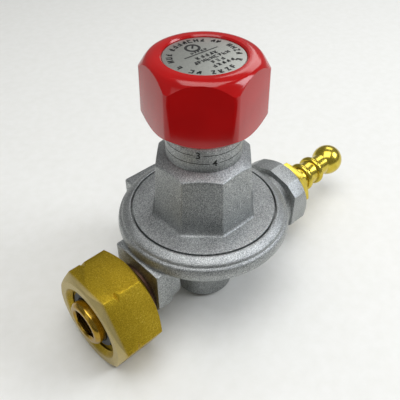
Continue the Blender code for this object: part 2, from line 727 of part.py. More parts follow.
# ================================================================ valve
def seat_levels():
    pocket = FLANGE_H - CHAMBER_DEPTH - SEAT_POCKET_DEPTH
    head = pocket + SEAT_GAP + SEAL_RING_T + SEAT_GAP
    shank = pocket - SEAT_SHANK_LEN + 1.0
    nose = shank - SEAT_NOSE_H
    return pocket, head, shank, nose


def build_valve_seat(material):
    pocket, head, shank, nose = seat_levels()
    r = VALVE_BORE_R - THREAD_GAP - 0.1
    o = SEAT_ORIFICE_R
    seat = lathe("valve seat", [
        (o, nose), (SEAT_NOSE_R - 0.2, nose), (SEAT_NOSE_R, nose + 0.2), (SEAT_NOSE_R, shank),
        (r - 0.5, shank), (r, shank + 0.5), (r, head + 0.3), (o, head + 0.3),
    ], COARSE)
    corner = SEAT_HEAD_AF / 2 / math.cos(math.pi / 6)
    hexagon = prism("head", polygon(6, corner), head, head + SEAT_HEAD_T)
    join(seat, hexagon)
    cut(seat, lathe("orifice", [(0, nose - 1), (o, nose - 1), (o, head + 4), (0, head + 4)],
                    COARSE))
    return finish(seat, "valve_seat", material)


def build_seat_gasket(material):
    pocket = seat_levels()[0]
    low = pocket + SEAT_GAP
    ring = lathe("gasket", [
        (VALVE_BORE_R + FIT, low), (SEAT_POCKET_R - FIT - 0.6, low),
        (SEAT_POCKET_R - FIT - 0.6, low + SEAL_RING_T), (VALVE_BORE_R + FIT, low + SEAL_RING_T),
    ], COARSE)
    return finish(ring, "seat_gasket", material)


def pad_top():
    return seat_levels()[3] - VALVE_OPEN


def build_valve_pad(material):
    top = pad_top()
    pad = lathe("pad", [(STEM_R + 0.15, top - PAD_T), (PAD_R, top - PAD_T), (PAD_R, top),
                        (STEM_R + 0.15, top)], COARSE)
    return finish(pad, "valve_pad", material)


def build_valve_plug(material):
    floor = pad_top() - PAD_T - SEAT_GAP
    low = floor - (PLUG_T - 1.2)
    wall = PAD_R + 0.15
    plug = lathe("plug", [
        (0, low - TAIL_LEN), (TAIL_R - 0.4, low - TAIL_LEN), (TAIL_R, low - TAIL_LEN + 0.4),
        (TAIL_R, low), (PLUG_R, low), (PLUG_R, floor + 0.8), (wall, floor + 0.8),
        (wall, floor), (STEM_R, floor), (STEM_R, rivet_foot() - SEAT_GAP - 0.3),
        (STEM_R - 0.3, rivet_foot() - SEAT_GAP), (0, rivet_foot() - SEAT_GAP),
    ], 24)
    return finish(plug, "valve_plug", material)


def build_valve_spring(material):
    floor = pad_top() - PAD_T - SEAT_GAP
    low = VALVE_BORE_END + SEAT_GAP
    high = floor - (PLUG_T - 1.2) - SEAT_GAP
    spring = spring_coil("small spring", VALVE_SPRING_R, VALVE_SPRING_WIRE_R, low, high,
                         VALVE_SPRING_TURNS, 12, 5)
    return finish(spring, "valve_spring", material, sharp=70)


# ================================================================ inlet side
def build_tailpiece(material):
    """Hollow fitting with an outer thread, a collar for the nut and a hexagon socket."""
    inner = INLET_FACE - INLET_TAP_DEPTH + FILTER_T + 3 * SEAT_GAP
    shoulder = INLET_FACE + WASHER_GAP
    t = PORT_THREAD_R
    tail = lathe("tail", [
        (TAIL_BORE_R, inner), (t - 0.8, inner), (t, inner + 0.8), (t, shoulder),
        (TAIL_FLANGE_R, shoulder), (TAIL_FLANGE_R, shoulder + TAIL_FLANGE_T),
        (TAIL_SHANK_R, shoulder + TAIL_FLANGE_T), (TAIL_SHANK_R, NUT_SHOULDER + 0.3),
        (COLLAR_R, NUT_SHOULDER + 0.3), (COLLAR_R, COLLAR_END - 0.5),
        (COLLAR_R - 0.5, COLLAR_END), (NOSE_R, COLLAR_END), (NOSE_R, NOSE_END - 1.1),
        (NOSE_R - 0.8, NOSE_END), (TAIL_BORE_R, NOSE_END),
    ], MEDIUM, "-X")
    corner = SOCKET_AF / 2 / math.cos(math.pi / 6)
    cut(tail, prism("socket", polygon(6, corner), SOCKET_END, NOSE_END + 1, "-X"))
    return finish(tail, "inlet_tailpiece", material, origin_h=PORT_H)


def washer_x(name, inner, outer, low, high, seg, axis, material):
    ring = lathe(name, [(inner, low), (outer, low), (outer, high), (inner, high)], seg, axis)
    return finish(ring, name, material, origin_h=PORT_H)


def build_inlet_filter(material):
    low = INLET_FACE - INLET_TAP_DEPTH + SEAT_GAP
    disc = lathe("filter", [(0, low), (PORT_THREAD_R - 0.3, low),
                            (PORT_THREAD_R - 0.3, low + FILTER_T), (0, low + FILTER_T)],
                 COARSE, "-X")
    return finish(disc, "inlet_filter", material, origin_h=PORT_H)


def build_inlet_seal(material):
    low = COLLAR_END + SEAT_GAP
    high = low + SEAL_T
    r = NOSE_R + FIT
    seal = lathe("seal", [(r, low), (SEAL_R, low), (SEAL_R, high - 0.4), (SEAL_R - 0.4, high),
                          (r + 0.3, high), (r, high - 0.3)], MEDIUM, "-X")
    return finish(seal, "inlet_seal", material, origin_h=PORT_H)


def build_union_nut(material):
    corner = NUT_AF / 2 / math.cos(math.pi / 6)
    nut = prism("nut", polygon(6, corner, math.pi / 6 + NUT_TURN), NUT_BACK, NUT_FRONT, "-X")
    grow = (corner - NUT_FACE_R) / NUT_CHAMFER
    turned = lathe("turned", [
        (0, NUT_BACK), (NUT_FACE_R, NUT_BACK), (corner + 1, NUT_BACK + NUT_CHAMFER + 1 / grow),
        (corner + 1, NUT_FRONT - NUT_CHAMFER - 1 / grow), (NUT_FACE_R, NUT_FRONT),
        (0, NUT_FRONT),
    ], FINE, "-X")
    keep_common(nut, turned)
    mouth = NUT_FRONT - NUT_MOUTH_DEPTH
    rear = TAIL_SHANK_R + NUT_DROP + FIT + 0.1
    cut(nut, lathe("thread", [
        (0, NUT_BACK - 1), (rear, NUT_BACK - 1), (rear, NUT_SHOULDER),
        (NUT_THREAD_R, NUT_SHOULDER),
        (NUT_THREAD_R, mouth), (NUT_MOUTH_R, NUT_FRONT), (NUT_MOUTH_R, NUT_FRONT + 1),
        (0, NUT_FRONT + 1),
    ], MEDIUM, "-X"))
    notch = NUT_NOTCH
    ring = lathe("marks", [(corner - notch, NUT_MARK), (corner + 1, NUT_MARK - notch - 1),
                           (corner + 1, NUT_MARK + notch + 1)], FINE, "-X")
    cut(nut, ring)
    nut.data.transform(Matrix.Translation((0, 0, -NUT_DROP * MM)))
    return finish(nut, "union_nut", material, origin_h=PORT_H - NUT_DROP)


# ================================================================ outlet side
def bead(middle, base, steps):
    """Rounded bead standing on a neck, as (radius, distance) points."""
    points = []
    for i in range(steps + 1):
        a = math.pi * i / steps
        points.append((base + (BEAD_R - base) * math.sin(a),
                       middle - BEAD_HALF_W * math.cos(a)))
    return points


def ball():
    """Rounded end from the neck to the mouth of the bore, as (radius, distance) points."""
    start = math.asin(NECK_LONG_R / BALL_R)
    end = math.asin(NOZZLE_BORE_R / BALL_R)
    points = []
    for i in range(11):
        a = math.pi - start + (end + start - math.pi) * i / 10
        points.append((BALL_R * math.sin(a), BALL_X + BALL_R * math.cos(a)))
    return points


def build_nozzle(material):
    flange = OUTLET_FACE + SEAT_GAP + NOZZLE_WASHER_T + SEAT_GAP
    after = flange + NOZZLE_FLANGE_T
    inner = OUTLET_FACE - OUTLET_TAP_DEPTH + 1.0
    t = PORT_THREAD_R
    outline = [(NOZZLE_BORE_R, inner), (t - 0.8, inner), (t, inner + 0.8), (t, flange + 0.3),
               (CONE_R, flange + 0.3), (CONE_R, after), (CONE_R - 0.6, after + 0.9),
               (NECK_SHORT_R, after + 2.4)]
    outline += bead(BEAD_ONE, NECK_SHORT_R, 6)[1:]
    outline += bead(BEAD_TWO, NECK_LONG_R, 6)
    outline += ball()
    nozzle = lathe("nozzle", outline, COARSE, "+X")
    corner = NOZZLE_FLANGE_AF / 2 / math.cos(math.pi / 6)
    plate = prism("flange", polygon(6, corner, NOZZLE_TURN), flange, after, "+X")
    hole = lathe("hole", [(0, flange - 1), (NOZZLE_BORE_R + 1.5, flange - 1),
                          (NOZZLE_BORE_R + 1.5, after + 1), (0, after + 1)], COARSE, "+X")
    cut(plate, hole)
    join(nozzle, plate)
    return finish(nozzle, "hose_nozzle", material, origin_h=PORT_H)


# ================================================================ assembly
def clear_scene():
    for obj in list(bpy.data.objects):
        bpy.data.objects.remove(obj)


def build():
    clear_scene()
    zinc = make_material("cast_zinc", (0.42, 0.43, 0.43), 1.0, 0.5)
    red = make_material("red_plastic", (0.55, 0.005, 0.006), 0.0, 0.2)
    tin = make_material("label_aluminium", (0.55, 0.55, 0.53), 1.0, 0.4)
    steel = make_material("zinc_plated_steel", (0.5, 0.51, 0.52), 1.0, 0.3)
    spring = make_material("spring_steel", (0.35, 0.35, 0.36), 1.0, 0.35)
    brass = make_material("brass", (0.72, 0.52, 0.16), 1.0, 0.25)
    rubber = make_material("nitrile_rubber", (0.02, 0.02, 0.022), 0.0, 0.6)
    copper = make_material("copper", (0.7, 0.3, 0.18), 1.0, 0.35)
    bronze = make_material("sintered_bronze", (0.45, 0.28, 0.12), 1.0, 0.7)
    fibre = make_material("sealing_fibre", (0.3, 0.06, 0.03), 0.0, 0.8)

    build_body(zinc)
    build_bonnet(zinc)
    build_knob(red)
    build_label(tin)
    build_cap_screw(steel)
    build_adjusting_screw(brass)
    build_spring_seat(steel)
    build_adjusting_spring(spring)
    build_diaphragm_plate(steel)
    build_diaphragm(rubber)
    build_backing_plate(tin)
    build_rivet(brass)
    build_valve_seat(brass)
    build_seat_gasket(copper)
    build_valve_plug(brass)
    build_valve_pad(rubber)
    build_valve_spring(spring)
    build_tailpiece(brass)
    washer_x("tailpiece_washer", PORT_THREAD_R + FIT, TAIL_FLANGE_R, INLET_FACE + SEAT_GAP,
             INLET_FACE + WASHER_GAP - SEAT_GAP, COARSE, "-X", copper)
    build_inlet_filter(bronze)
    build_inlet_seal(rubber)
    build_union_nut(brass)
    build_nozzle(brass)
    washer_x("nozzle_washer", PORT_THREAD_R + FIT, NOZZLE_WASHER_R, OUTLET_FACE + SEAT_GAP,
             OUTLET_FACE + SEAT_GAP + NOZZLE_WASHER_T, COARSE, "+X", fibre)


build()
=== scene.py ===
# %% [markdown]
# # Adjustable gas regulator: visual model
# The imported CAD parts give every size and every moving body.  This notebook models the
# finish of each visible piece over them: soft casting edges, turned chamfers, threads,
# the printed scale and the label.

# %% Load the CAD frame
import math
import random

import bpy
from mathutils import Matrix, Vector
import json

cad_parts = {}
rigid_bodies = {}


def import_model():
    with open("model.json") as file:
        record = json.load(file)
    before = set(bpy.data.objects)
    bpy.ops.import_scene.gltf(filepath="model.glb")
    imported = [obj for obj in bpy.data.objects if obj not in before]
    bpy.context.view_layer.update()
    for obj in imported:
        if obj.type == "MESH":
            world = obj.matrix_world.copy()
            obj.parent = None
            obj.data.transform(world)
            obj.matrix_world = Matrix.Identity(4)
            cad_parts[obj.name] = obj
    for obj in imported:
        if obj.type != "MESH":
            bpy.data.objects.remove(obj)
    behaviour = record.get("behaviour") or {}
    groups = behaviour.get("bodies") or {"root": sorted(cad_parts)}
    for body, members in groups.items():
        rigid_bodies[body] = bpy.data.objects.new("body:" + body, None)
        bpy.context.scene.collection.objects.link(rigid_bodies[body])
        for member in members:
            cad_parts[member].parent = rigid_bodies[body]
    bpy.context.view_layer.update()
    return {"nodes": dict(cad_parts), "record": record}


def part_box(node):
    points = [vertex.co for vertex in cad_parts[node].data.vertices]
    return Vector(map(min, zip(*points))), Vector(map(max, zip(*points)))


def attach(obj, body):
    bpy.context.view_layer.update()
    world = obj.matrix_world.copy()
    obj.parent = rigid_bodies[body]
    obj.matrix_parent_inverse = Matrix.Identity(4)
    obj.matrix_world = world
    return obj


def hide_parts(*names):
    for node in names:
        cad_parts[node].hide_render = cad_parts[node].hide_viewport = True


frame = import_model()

MM = 0.001
record = frame["record"]
mounts = {m["name"]: m for m in record["mounts"]}
NECK_R = 11.25
NECK_TOP = 38.5                                         # above the bonnet's flange
PORT_H = mounts["bottle_union"]["pos_m"][2] / MM        # height of the port axis
FLANGE_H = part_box("bonnet")[1].z / MM - NECK_TOP        # bonnet flange's top face
print("port axis", round(PORT_H, 2), "mm, flange", round(FLANGE_H, 2), "mm")


# %% [markdown]
# ## Helpers
# Each piece is modelled the way it is made.  Turned pieces are a point extruded along
# half of their section and spun about an axis.  Pieces with flats are a polygon extruded
# level by level and trimmed with a turned envelope, as a hexagon bar is on a lathe.

# %% Modelling helpers
def clean_start():
    """Nothing selected, object mode."""
    if bpy.context.object and bpy.context.object.mode != "OBJECT":
        bpy.ops.object.mode_set(mode="OBJECT")
    bpy.ops.object.select_all(action="DESELECT")


def only(obj):
    """Selects one object and makes it active."""
    clean_start()
    obj.hide_viewport = False
    obj.select_set(True)
    bpy.context.view_layer.objects.active = obj


def edit(obj, select="SELECT"):
    """Opens the object's mesh with everything selected or nothing."""
    only(obj)
    bpy.ops.object.mode_set(mode="EDIT")
    bpy.ops.mesh.select_all(action=select)


def done():
    bpy.ops.object.mode_set(mode="OBJECT")


def soften(outline, radius, steps=3):
    """Rounds the corners of a (radius, height) outline; a third value overrides the radius."""
    n = len(outline)
    points = []
    for i, here in enumerate(outline):
        r = here[2] if len(here) > 2 else radius
        p = Vector(here[:2])
        if r <= 0:
            points.append(p)
            continue
        a = Vector(outline[i - 1][:2]) - p
        b = Vector(outline[(i + 1) % n][:2]) - p
        if a.length < 1e-6 or b.length < 1e-6 or a.angle(b, 0) > math.radians(172):
            points.append(p)
            continue
        cut = min(r, 0.45 * a.length, 0.45 * b.length)
        start, end = p + a.normalized() * cut, p + b.normalized() * cut
        for k in range(steps + 1):
            t = k / steps
            points.append((1 - t) ** 2 * start + 2 * t * (1 - t) * p + t * t * end)
    return [(max(q.x, 0.0), q.y) for q in points]


def single_point(name, x, y, z):
    """A new mesh with one point, in millimetres, left open for editing."""
    clean_start()
    bpy.ops.mesh.primitive_plane_add(size=MM)
    obj = bpy.context.object
    obj.name = name
    obj.data.name = name
    edit(obj)
    bpy.ops.mesh.merge(type="CENTER")
    bpy.ops.transform.translate(value=(x * MM, y * MM, z * MM))
    return obj


def extrude(x, y, z):
    """Extrudes what is selected by a step in millimetres."""
    step = (x * MM, y * MM, z * MM)
    bpy.ops.mesh.extrude_region_move(TRANSFORM_OT_translate={"value": step})


def turned(name, outline, steps=96, axis="Z"):
    """A point extruded around the outline and spun about Z, then laid on its axis."""
    last = outline[0]
    obj = single_point(name, last[0], 0, last[1])
    for point in list(outline[1:]) + [outline[0]]:
        extrude(point[0] - last[0], 0, point[1] - last[1])
        last = point
    bpy.ops.mesh.select_all(action="SELECT")
    bpy.ops.mesh.remove_doubles(threshold=1e-7)
    bpy.ops.mesh.spin(steps=steps, angle=2 * math.pi, center=(0, 0, 0), axis=(0, 0, 1))
    bpy.ops.mesh.select_all(action="SELECT")
    bpy.ops.mesh.remove_doubles(threshold=1e-6)
    bpy.ops.mesh.dissolve_degenerate(threshold=1e-7)
    bpy.ops.mesh.normals_make_consistent(inside=False)
    lay(axis)
    done()
    return obj


def rotate(angle, axis):
    """Turns what is selected by the right-hand rule; the operator counts the other way."""
    bpy.ops.transform.rotate(value=-angle, orient_axis=axis, center_override=(0, 0, 0))


def lay(axis):
    """Turns the mesh being edited from Z onto the port axis."""
    if axis == "Z":
        return
    bpy.ops.mesh.select_all(action="SELECT")
    rotate(math.pi / 2 if axis == "+X" else -math.pi / 2, "Y")
    bpy.ops.transform.translate(value=(0, 0, PORT_H * MM))


def stacked(name, sides, levels, turn=0.0, axis="Z", corner=0.0, corner_steps=4):
    """A polygon extruded from level to level; each level is (corner radius, height)."""
    clean_start()
    first = levels[0]
    bpy.ops.mesh.primitive_circle_add(vertices=sides, radius=first[0] * MM, fill_type="NGON")
    obj = bpy.context.object
    obj.name = name
    obj.data.name = name
    edit(obj)
    rotate(turn, "Z")
    bpy.ops.transform.translate(value=(0, 0, first[1] * MM))
    if corner:
        bpy.ops.mesh.bevel(offset=corner * MM, segments=corner_steps, affect="VERTICES")
        bpy.ops.mesh.select_all(action="SELECT")
    last = first
    for level in levels[1:]:
        extrude(0, 0, level[1] - last[1])
        grow = level[0] / last[0]
        bpy.ops.transform.resize(value=(grow, grow, 1), center_override=(0, 0, level[1] * MM))
        last = level
    bpy.ops.mesh.select_all(action="SELECT")
    bpy.ops.mesh.normals_make_consistent(inside=False)
    lay(axis)
    done()
    return obj


def raised(name, outline, low, high, axis="Z", edge=0.0, steps=2):
    """An outline of (x, y) points filled and raised; on the port axis x becomes height."""
    last = outline[0]
    obj = single_point(name, last[0], last[1], low)
    for point in list(outline[1:]) + [outline[0]]:
        extrude(point[0] - last[0], point[1] - last[1], 0)
        last = point
    bpy.ops.mesh.select_all(action="SELECT")
    bpy.ops.mesh.remove_doubles(threshold=1e-7)
    bpy.ops.mesh.select_all(action="SELECT")
    bpy.ops.mesh.edge_face_add()
    extrude(0, 0, high - low)
    bpy.ops.mesh.select_all(action="SELECT")
    bpy.ops.mesh.normals_make_consistent(inside=False)
    done()
    if edge:
        break_edges(obj, edge, steps, 20)
    if axis != "Z":
        stand(obj, axis)
    return obj


def stand(obj, axis):
    """Lays a raised outline on the port axis: its x becomes height, its z the axis."""
    edit(obj)
    if axis == "+X":
        rotate(math.pi, "Z")
    lay(axis)
    done()


def modifier(obj, kind, **settings):
    """Adds a modifier, sets it and applies it."""
    only(obj)
    mod = obj.modifiers.new(kind.lower(), kind)
    for key, value in settings.items():
        setattr(mod, key, value)
    bpy.ops.object.modifier_apply(modifier=mod.name)
    return obj


def combine(target, tool, how="UNION"):
    """Boolean with a second piece, which is used up."""
    modifier(target, "BOOLEAN", operation=how, solver="EXACT", object=tool)
    bpy.data.objects.remove(tool)
    return target


def break_edges(obj, width, steps, angle):
    """Rounds the edges that are sharper than an angle in degrees."""
    modifier(obj, "BEVEL", width=width * MM, segments=steps, limit_method="ANGLE",
             angle_limit=math.radians(angle))


def move(obj, x, y, z):
    """Moves the mesh itself by millimetres; the object's origin stays."""
    edit(obj)
    bpy.ops.transform.translate(value=(x * MM, y * MM, z * MM))
    done()


def hexagon_radius(across_flats):
    return across_flats / 2 / math.cos(math.pi / 6)


def thread_rings(start, end, pitch, root, crest, rise, run, rounding=0):
    """Outline of closed thread-like rings: each climbs over rise and stays until run."""
    points = []
    at = start
    while at < end:
        points += [(root, at, 0), (crest, at + rise, rounding), (crest, at + run, rounding)]
        at += pitch
    return points


def washer(name, inner, outer, start, end, axis):
    section = [(inner, start), (outer, start), (outer, end), (inner, end)]
    return turned(name, soften(section, 0.15), 64, axis)


def finish(obj, material, node, body, angle=32):
    """Smooth shading, material and the CAD body the piece moves with."""
    only(obj)
    obj.data.materials.clear()
    obj.data.materials.append(material)
    bpy.ops.object.shade_smooth_by_angle(angle=math.radians(angle), keep_sharp_edges=False)
    if node:
        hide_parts(node)
    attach(obj, body)
    print(obj.name, len(obj.data.polygons), "faces")
    return obj


# %% [markdown]
# ## Finishes
# Colours are given as the eye sees them and turned into linear light.  Metals take their
# colour from the metal itself, and their look from roughness and fine surface relief.

# %% Material helpers
def colour(code):
    """sRGB hex colour as linear RGBA."""
    parts = [int(code[i:i + 2], 16) / 255 for i in (1, 3, 5)]
    linear = [c / 12.92 if c <= 0.04045 else ((c + 0.055) / 1.055) ** 2.4 for c in parts]
    return (*linear, 1)


def node(mat, kind, inputs=None, **settings):
    """Adds a shader node; inputs maps socket names to values or to output sockets."""
    new = mat.node_tree.nodes.new(kind)
    for key, value in settings.items():
        setattr(new, key, value)
    for key, value in (inputs or {}).items():
        if isinstance(value, bpy.types.NodeSocket):
            mat.node_tree.links.new(value, new.inputs[key])
        else:
            new.inputs[key].default_value = value
    return new


def new_material(name, **sockets):
    mat = bpy.data.materials.new(name)
    mat.use_nodes = True
    shader = mat.node_tree.nodes["Principled BSDF"]
    for key, value in sockets.items():
        shader.inputs[key].default_value = value
    return mat


def object_place(mat):
    """Object coordinates in millimetres."""
    place = node(mat, "ShaderNodeTexCoord")
    scale = node(mat, "ShaderNodeVectorMath", {1: (1000, 1000, 1000)}, operation="MULTIPLY")
    mat.node_tree.links.new(place.outputs["Object"], scale.inputs[0])
    return scale.outputs[0]


def grain(mat, place, size_mm, detail=3.0, rough=0.55):
    """Noise whose blobs are about size_mm across."""
    return node(mat, "ShaderNodeTexNoise", {
        "Vector": place, "Scale": 1.0 / size_mm, "Detail": detail, "Roughness": rough,
    }).outputs["Fac"]


def ramp(mat, fac, stops):
    """Colour ramp from (position, hex colour) stops."""
    new = node(mat, "ShaderNodeValToRGB", {"Fac": fac})
    elements = new.color_ramp.elements
    while len(elements) < len(stops):
        elements.new(0.5)
    for element, (position, code) in zip(elements, stops):
        element.position = position
        element.color = colour(code)
    return new.outputs["Color"]


def span(mat, fac, low, high, start=0.3, end=0.7):
    """Maps a noise value to a range."""
    return node(mat, "ShaderNodeMapRange", {
        "Value": fac, "From Min": start, "From Max": end, "To Min": low, "To Max": high,
    }).outputs["Result"]


def bump(mat, height, depth_mm, strength=1.0, normal=None):
    inputs = {"Height": height, "Distance": depth_mm * MM, "Strength": strength}
    if normal:
        inputs["Normal"] = normal
    return node(mat, "ShaderNodeBump", inputs).outputs["Normal"]


def link(mat, output, socket):
    shader = mat.node_tree.nodes["Principled BSDF"]
    mat.node_tree.links.new(output, shader.inputs[socket])


# %% [markdown]
# ### Die-cast zinc
# The castings are sand-blasted: a mid-grey metal whose skin is a carpet of tiny facets
# about a third of a millimetre across.  Some facets catch the light and sparkle, some sit
# in shade, so tone, roughness and relief all follow the same fine grain.

# %% Die-cast zinc
def make_zinc():
    mat = new_material("blasted zinc casting", Metallic=1.0)
    place = object_place(mat)
    fine = grain(mat, place, 0.3, detail=3.0, rough=0.7)
    patch = grain(mat, place, 9.0, 2.0)
    facets = node(mat, "ShaderNodeTexVoronoi", {"Vector": place, "Scale": 2.6},
                  feature="SMOOTH_F1").outputs["Distance"]
    tone = node(mat, "ShaderNodeMix", {"Factor": 0.12}, data_type="FLOAT")
    mat.node_tree.links.new(fine, tone.inputs[2])
    mat.node_tree.links.new(patch, tone.inputs[3])
    link(mat, ramp(mat, tone.outputs[0], [(0.3, "#6A6D6E"), (0.48, "#969999"),
                                          (0.6, "#C3C6C6"), (0.7, "#ECEEEE")]), "Base Color")
    link(mat, span(mat, fine, 0.5, 0.34), "Roughness")
    relief = bump(mat, fine, 0.13, 1.0)
    link(mat, bump(mat, facets, 0.05, 0.5, relief), "Normal")
    return mat


ZINC = make_zinc()
print("zinc ready")

# %% [markdown]
# ### Brass
# The nut is forged and tumbled brass with a dull, speckled, olive skin, paler where its mouth
# was turned.  The nozzle and the tailpiece are turned from bar and stay brighter, with fine
# rings left by the tool; the tailpiece's copy of this brass is given darker tones, which is
# painted shade.

# %% Brass
NUT_DROP = 1.0              # the loose nut hangs below the tailpiece's axis
MOUTH_AT = (-45.9, -45.1)   # along the port axis, where the nut's turned mouth begins
MOUTH_R = (11.6, 12.2)      # from its axis, where the turned mouth begins


def make_nut_brass():
    mat = new_material("tumbled brass", Metallic=1.0)
    place = object_place(mat)
    fine = grain(mat, place, 0.32, detail=3.0, rough=0.7)
    patch = grain(mat, place, 8.0, 2.0)
    tone = node(mat, "ShaderNodeMix", {"Factor": 0.15}, data_type="FLOAT")
    mat.node_tree.links.new(fine, tone.inputs[2])
    mat.node_tree.links.new(patch, tone.inputs[3])
    skin = ramp(mat, tone.outputs[0], [(0.3, "#80691A"), (0.48, "#AC9022"), (0.62, "#C4A834"),
                                       (0.72, "#E8D272")])
    along = node(mat, "ShaderNodeSeparateXYZ", {"Vector": place}).outputs["X"]
    centre = node(mat, "ShaderNodeVectorMath", {0: place, 1: (0, 0, NUT_DROP - PORT_H)},
                  operation="ADD").outputs[0]
    across = node(mat, "ShaderNodeVectorMath", {0: centre, 1: (0, 1, 1)}, operation="MULTIPLY")
    reach = node(mat, "ShaderNodeVectorMath", {0: across.outputs[0]},
                 operation="LENGTH").outputs["Value"]
    cut = node(mat, "ShaderNodeMath", {0: span(mat, along, 0.75, 0.0, *MOUTH_AT),
                                       1: span(mat, reach, 0.0, 1.0, *MOUTH_R)},
               operation="MULTIPLY").outputs[0]
    both = node(mat, "ShaderNodeMix", {"Factor": cut, 6: skin, 7: colour("#BFB184")},
                data_type="RGBA")
    link(mat, both.outputs[2], "Base Color")
    link(mat, span(mat, fine, 0.46, 0.32), "Roughness")
    link(mat, bump(mat, fine, 0.1, 1.0), "Normal")
    return mat


def make_turned_brass(name, axis, tones):
    mat = new_material(name, Metallic=1.0)
    place = object_place(mat)
    stretch = (9.0, 0.05, 0.05) if axis == "X" else (0.05, 0.05, 9.0)
    lines = node(mat, "ShaderNodeVectorMath", {0: place, 1: stretch}, operation="MULTIPLY")
    rings = grain(mat, lines.outputs[0], 1.0, 2.0)
    patch = grain(mat, place, 2.5, 3.0)
    link(mat, ramp(mat, patch, list(zip((0.25, 0.5, 0.75), tones))), "Base Color")
    link(mat, span(mat, rings, 0.16, 0.3), "Roughness")
    link(mat, bump(mat, rings, 0.012, 0.5), "Normal")
    return mat


NUT_BRASS = make_nut_brass()
NOZZLE_BRASS = make_turned_brass("turned brass of the nozzle", "X",
                                 ("#C2AB3C", "#CFB948", "#DAC657"))
# The tailpiece takes the same turned brass in darker tones: painted shade, not a different
# metal.
SHADED_TAIL_BRASS = make_turned_brass("turned brass of the tailpiece, darkened as painted shade", "X",
                               ("#9C7C2C", "#AC8B36", "#B99A44"))
INNER_BRASS = make_turned_brass("turned brass in the tower", "Z",
                                ("#BFA03C", "#CCAE48", "#D6BA57"))
print("brass ready")

# %% [markdown]
# ### Red plastic, rubber, label and the inner metals
# The knob is a glossy moulding, so it gets a clear sheen and only the faintest waviness.
# Rubber is matt with a dusty bloom.

# %% Other finishes
def make_red():
    mat = new_material("red moulded plastic", Metallic=0.0, IOR=1.5)
    place = object_place(mat)
    wave = grain(mat, place, 7.0, 1.0)
    dust = grain(mat, place, 0.35, 2.0)
    link(mat, ramp(mat, wave, [(0.3, "#A60203"), (0.7, "#B00304")]), "Base Color")
    link(mat, span(mat, dust, 0.1, 0.17), "Roughness")
    relief = bump(mat, wave, 0.02, 0.6)
    link(mat, bump(mat, dust, 0.002, 0.4, relief), "Normal")
    return mat


def make_grainy(name, stops, metallic, low, high, size=0.4, depth=0.01, ior=1.5):
    """Plain material with a tone, roughness and relief that vary at one grain size."""
    mat = new_material(name, Metallic=metallic, IOR=ior)
    place = object_place(mat)
    fine = grain(mat, place, size, 3.0)
    link(mat, ramp(mat, fine, stops), "Base Color")
    link(mat, span(mat, fine, low, high), "Roughness")
    link(mat, bump(mat, fine, depth, 0.6), "Normal")
    return mat


RED = make_red()
RUBBER = make_grainy("nitrile rubber", [(0.35, "#23282B"), (0.65, "#3C4348")], 0.0, 0.5, 0.7,
                     0.5, 0.02)
LABEL = make_grainy("satin aluminium label", [(0.3, "#A6A8A2"), (0.7, "#BCBEB8")], 1.0, 0.42,
                    0.5, 0.25, 0.012)
INK = make_grainy("black print", [(0.3, "#0B0B0C"), (0.7, "#171718")], 0.0, 0.45, 0.6)
STEEL = make_grainy("zinc-plated steel", [(0.3, "#A7AAAD"), (0.7, "#C9CCCE")], 1.0, 0.24, 0.36)
WIRE = make_grainy("spring wire", [(0.3, "#6C6F73"), (0.7, "#8F9296")], 1.0, 0.25, 0.4, 0.8)
COPPER = make_grainy("soft copper", [(0.3, "#4E3A30"), (0.7, "#6A5145")], 1.0, 0.5, 0.65)
BRONZE = make_grainy("sintered bronze", [(0.3, "#6E4E28"), (0.7, "#9B7440")], 1.0, 0.5, 0.75,
                     0.3, 0.06)
FIBRE = make_grainy("pressed fibre", [(0.3, "#4A1A14"), (0.7, "#6B2A20")], 0.0, 0.7, 0.85)
print("finishes ready")

# %% [markdown]
# ## Body
# One casting: a dish whose rim was rolled over the bonnet's flange, a closed boss below,
# and a boss for each port.  The dish is turned with its chamber open; the bosses are
# raised from their own outlines with softened edges and joined to it.

# %% Body
RIM_R = 27.4
CHAMBER_DEPTH = 10.0
CHAMBER_FLOOR_T = 2.2
INLET_FACE = 28.0           # port faces, from the main axis
OUTLET_FACE = 41.0
PORT_BORE_R = 6.5
RISER_R = 2.4               # passage from the outlet up into the chamber
RISER_X = 15.4


def body_profile():
    f = FLANGE_H
    floor = f - CHAMBER_DEPTH
    under = floor - CHAMBER_FLOOR_T
    step = f - 6.0
    return [
        (0, 0, 0), (10.1, 0, 1.1), (10.1, under, 1.6), (22.6, under, 1.2),
        (24.5, f - 9.6, 1.0), (26.2, f - 7.6, 1.0), (RIM_R, f - 6.0, 1.0), (RIM_R, f - 4.0, 1.0),
        (27.0, f - 2.6, 0.5), (26.25, f - 2.05, 0.12), (25.9, f - 1.3, 0.5),
        (24.9, f - 0.6, 0.6), (23.8, f - 0.06, 0.5), (23.1, f - 0.06, 0.35),
        (23.1, f - 1.3, 0), (25.4, f - 1.3, 0), (25.4, step, 0), (20.2, step, 0.2),
        (19.6, step - 0.6, 0.2), (19.0, floor, 0.4), (7.0, floor, 0.2),
        (7.0, floor - 1.4, 0), (4.7, floor - 1.4, 0.2), (4.7, 2.9, 0), (0, 1.9, 0),
    ]


def boss_outline(half_w, top, side_low, foot_w, foot):
    """A boss seen along the port as (height, sideways)."""
    return [(top, half_w), (side_low, half_w), (foot, foot_w), (foot, -foot_w),
            (side_low, -half_w), (top, -half_w)]


def rib_outline(radius, height):
    """Flat-topped rib with a round lower edge."""
    arc = [(-radius * math.sin(math.pi * i / 9), radius * math.cos(math.pi * i / 9))
           for i in range(1, 9)]
    return [(height, radius), (0, radius)] + arc + [(0, -radius), (height, -radius)]


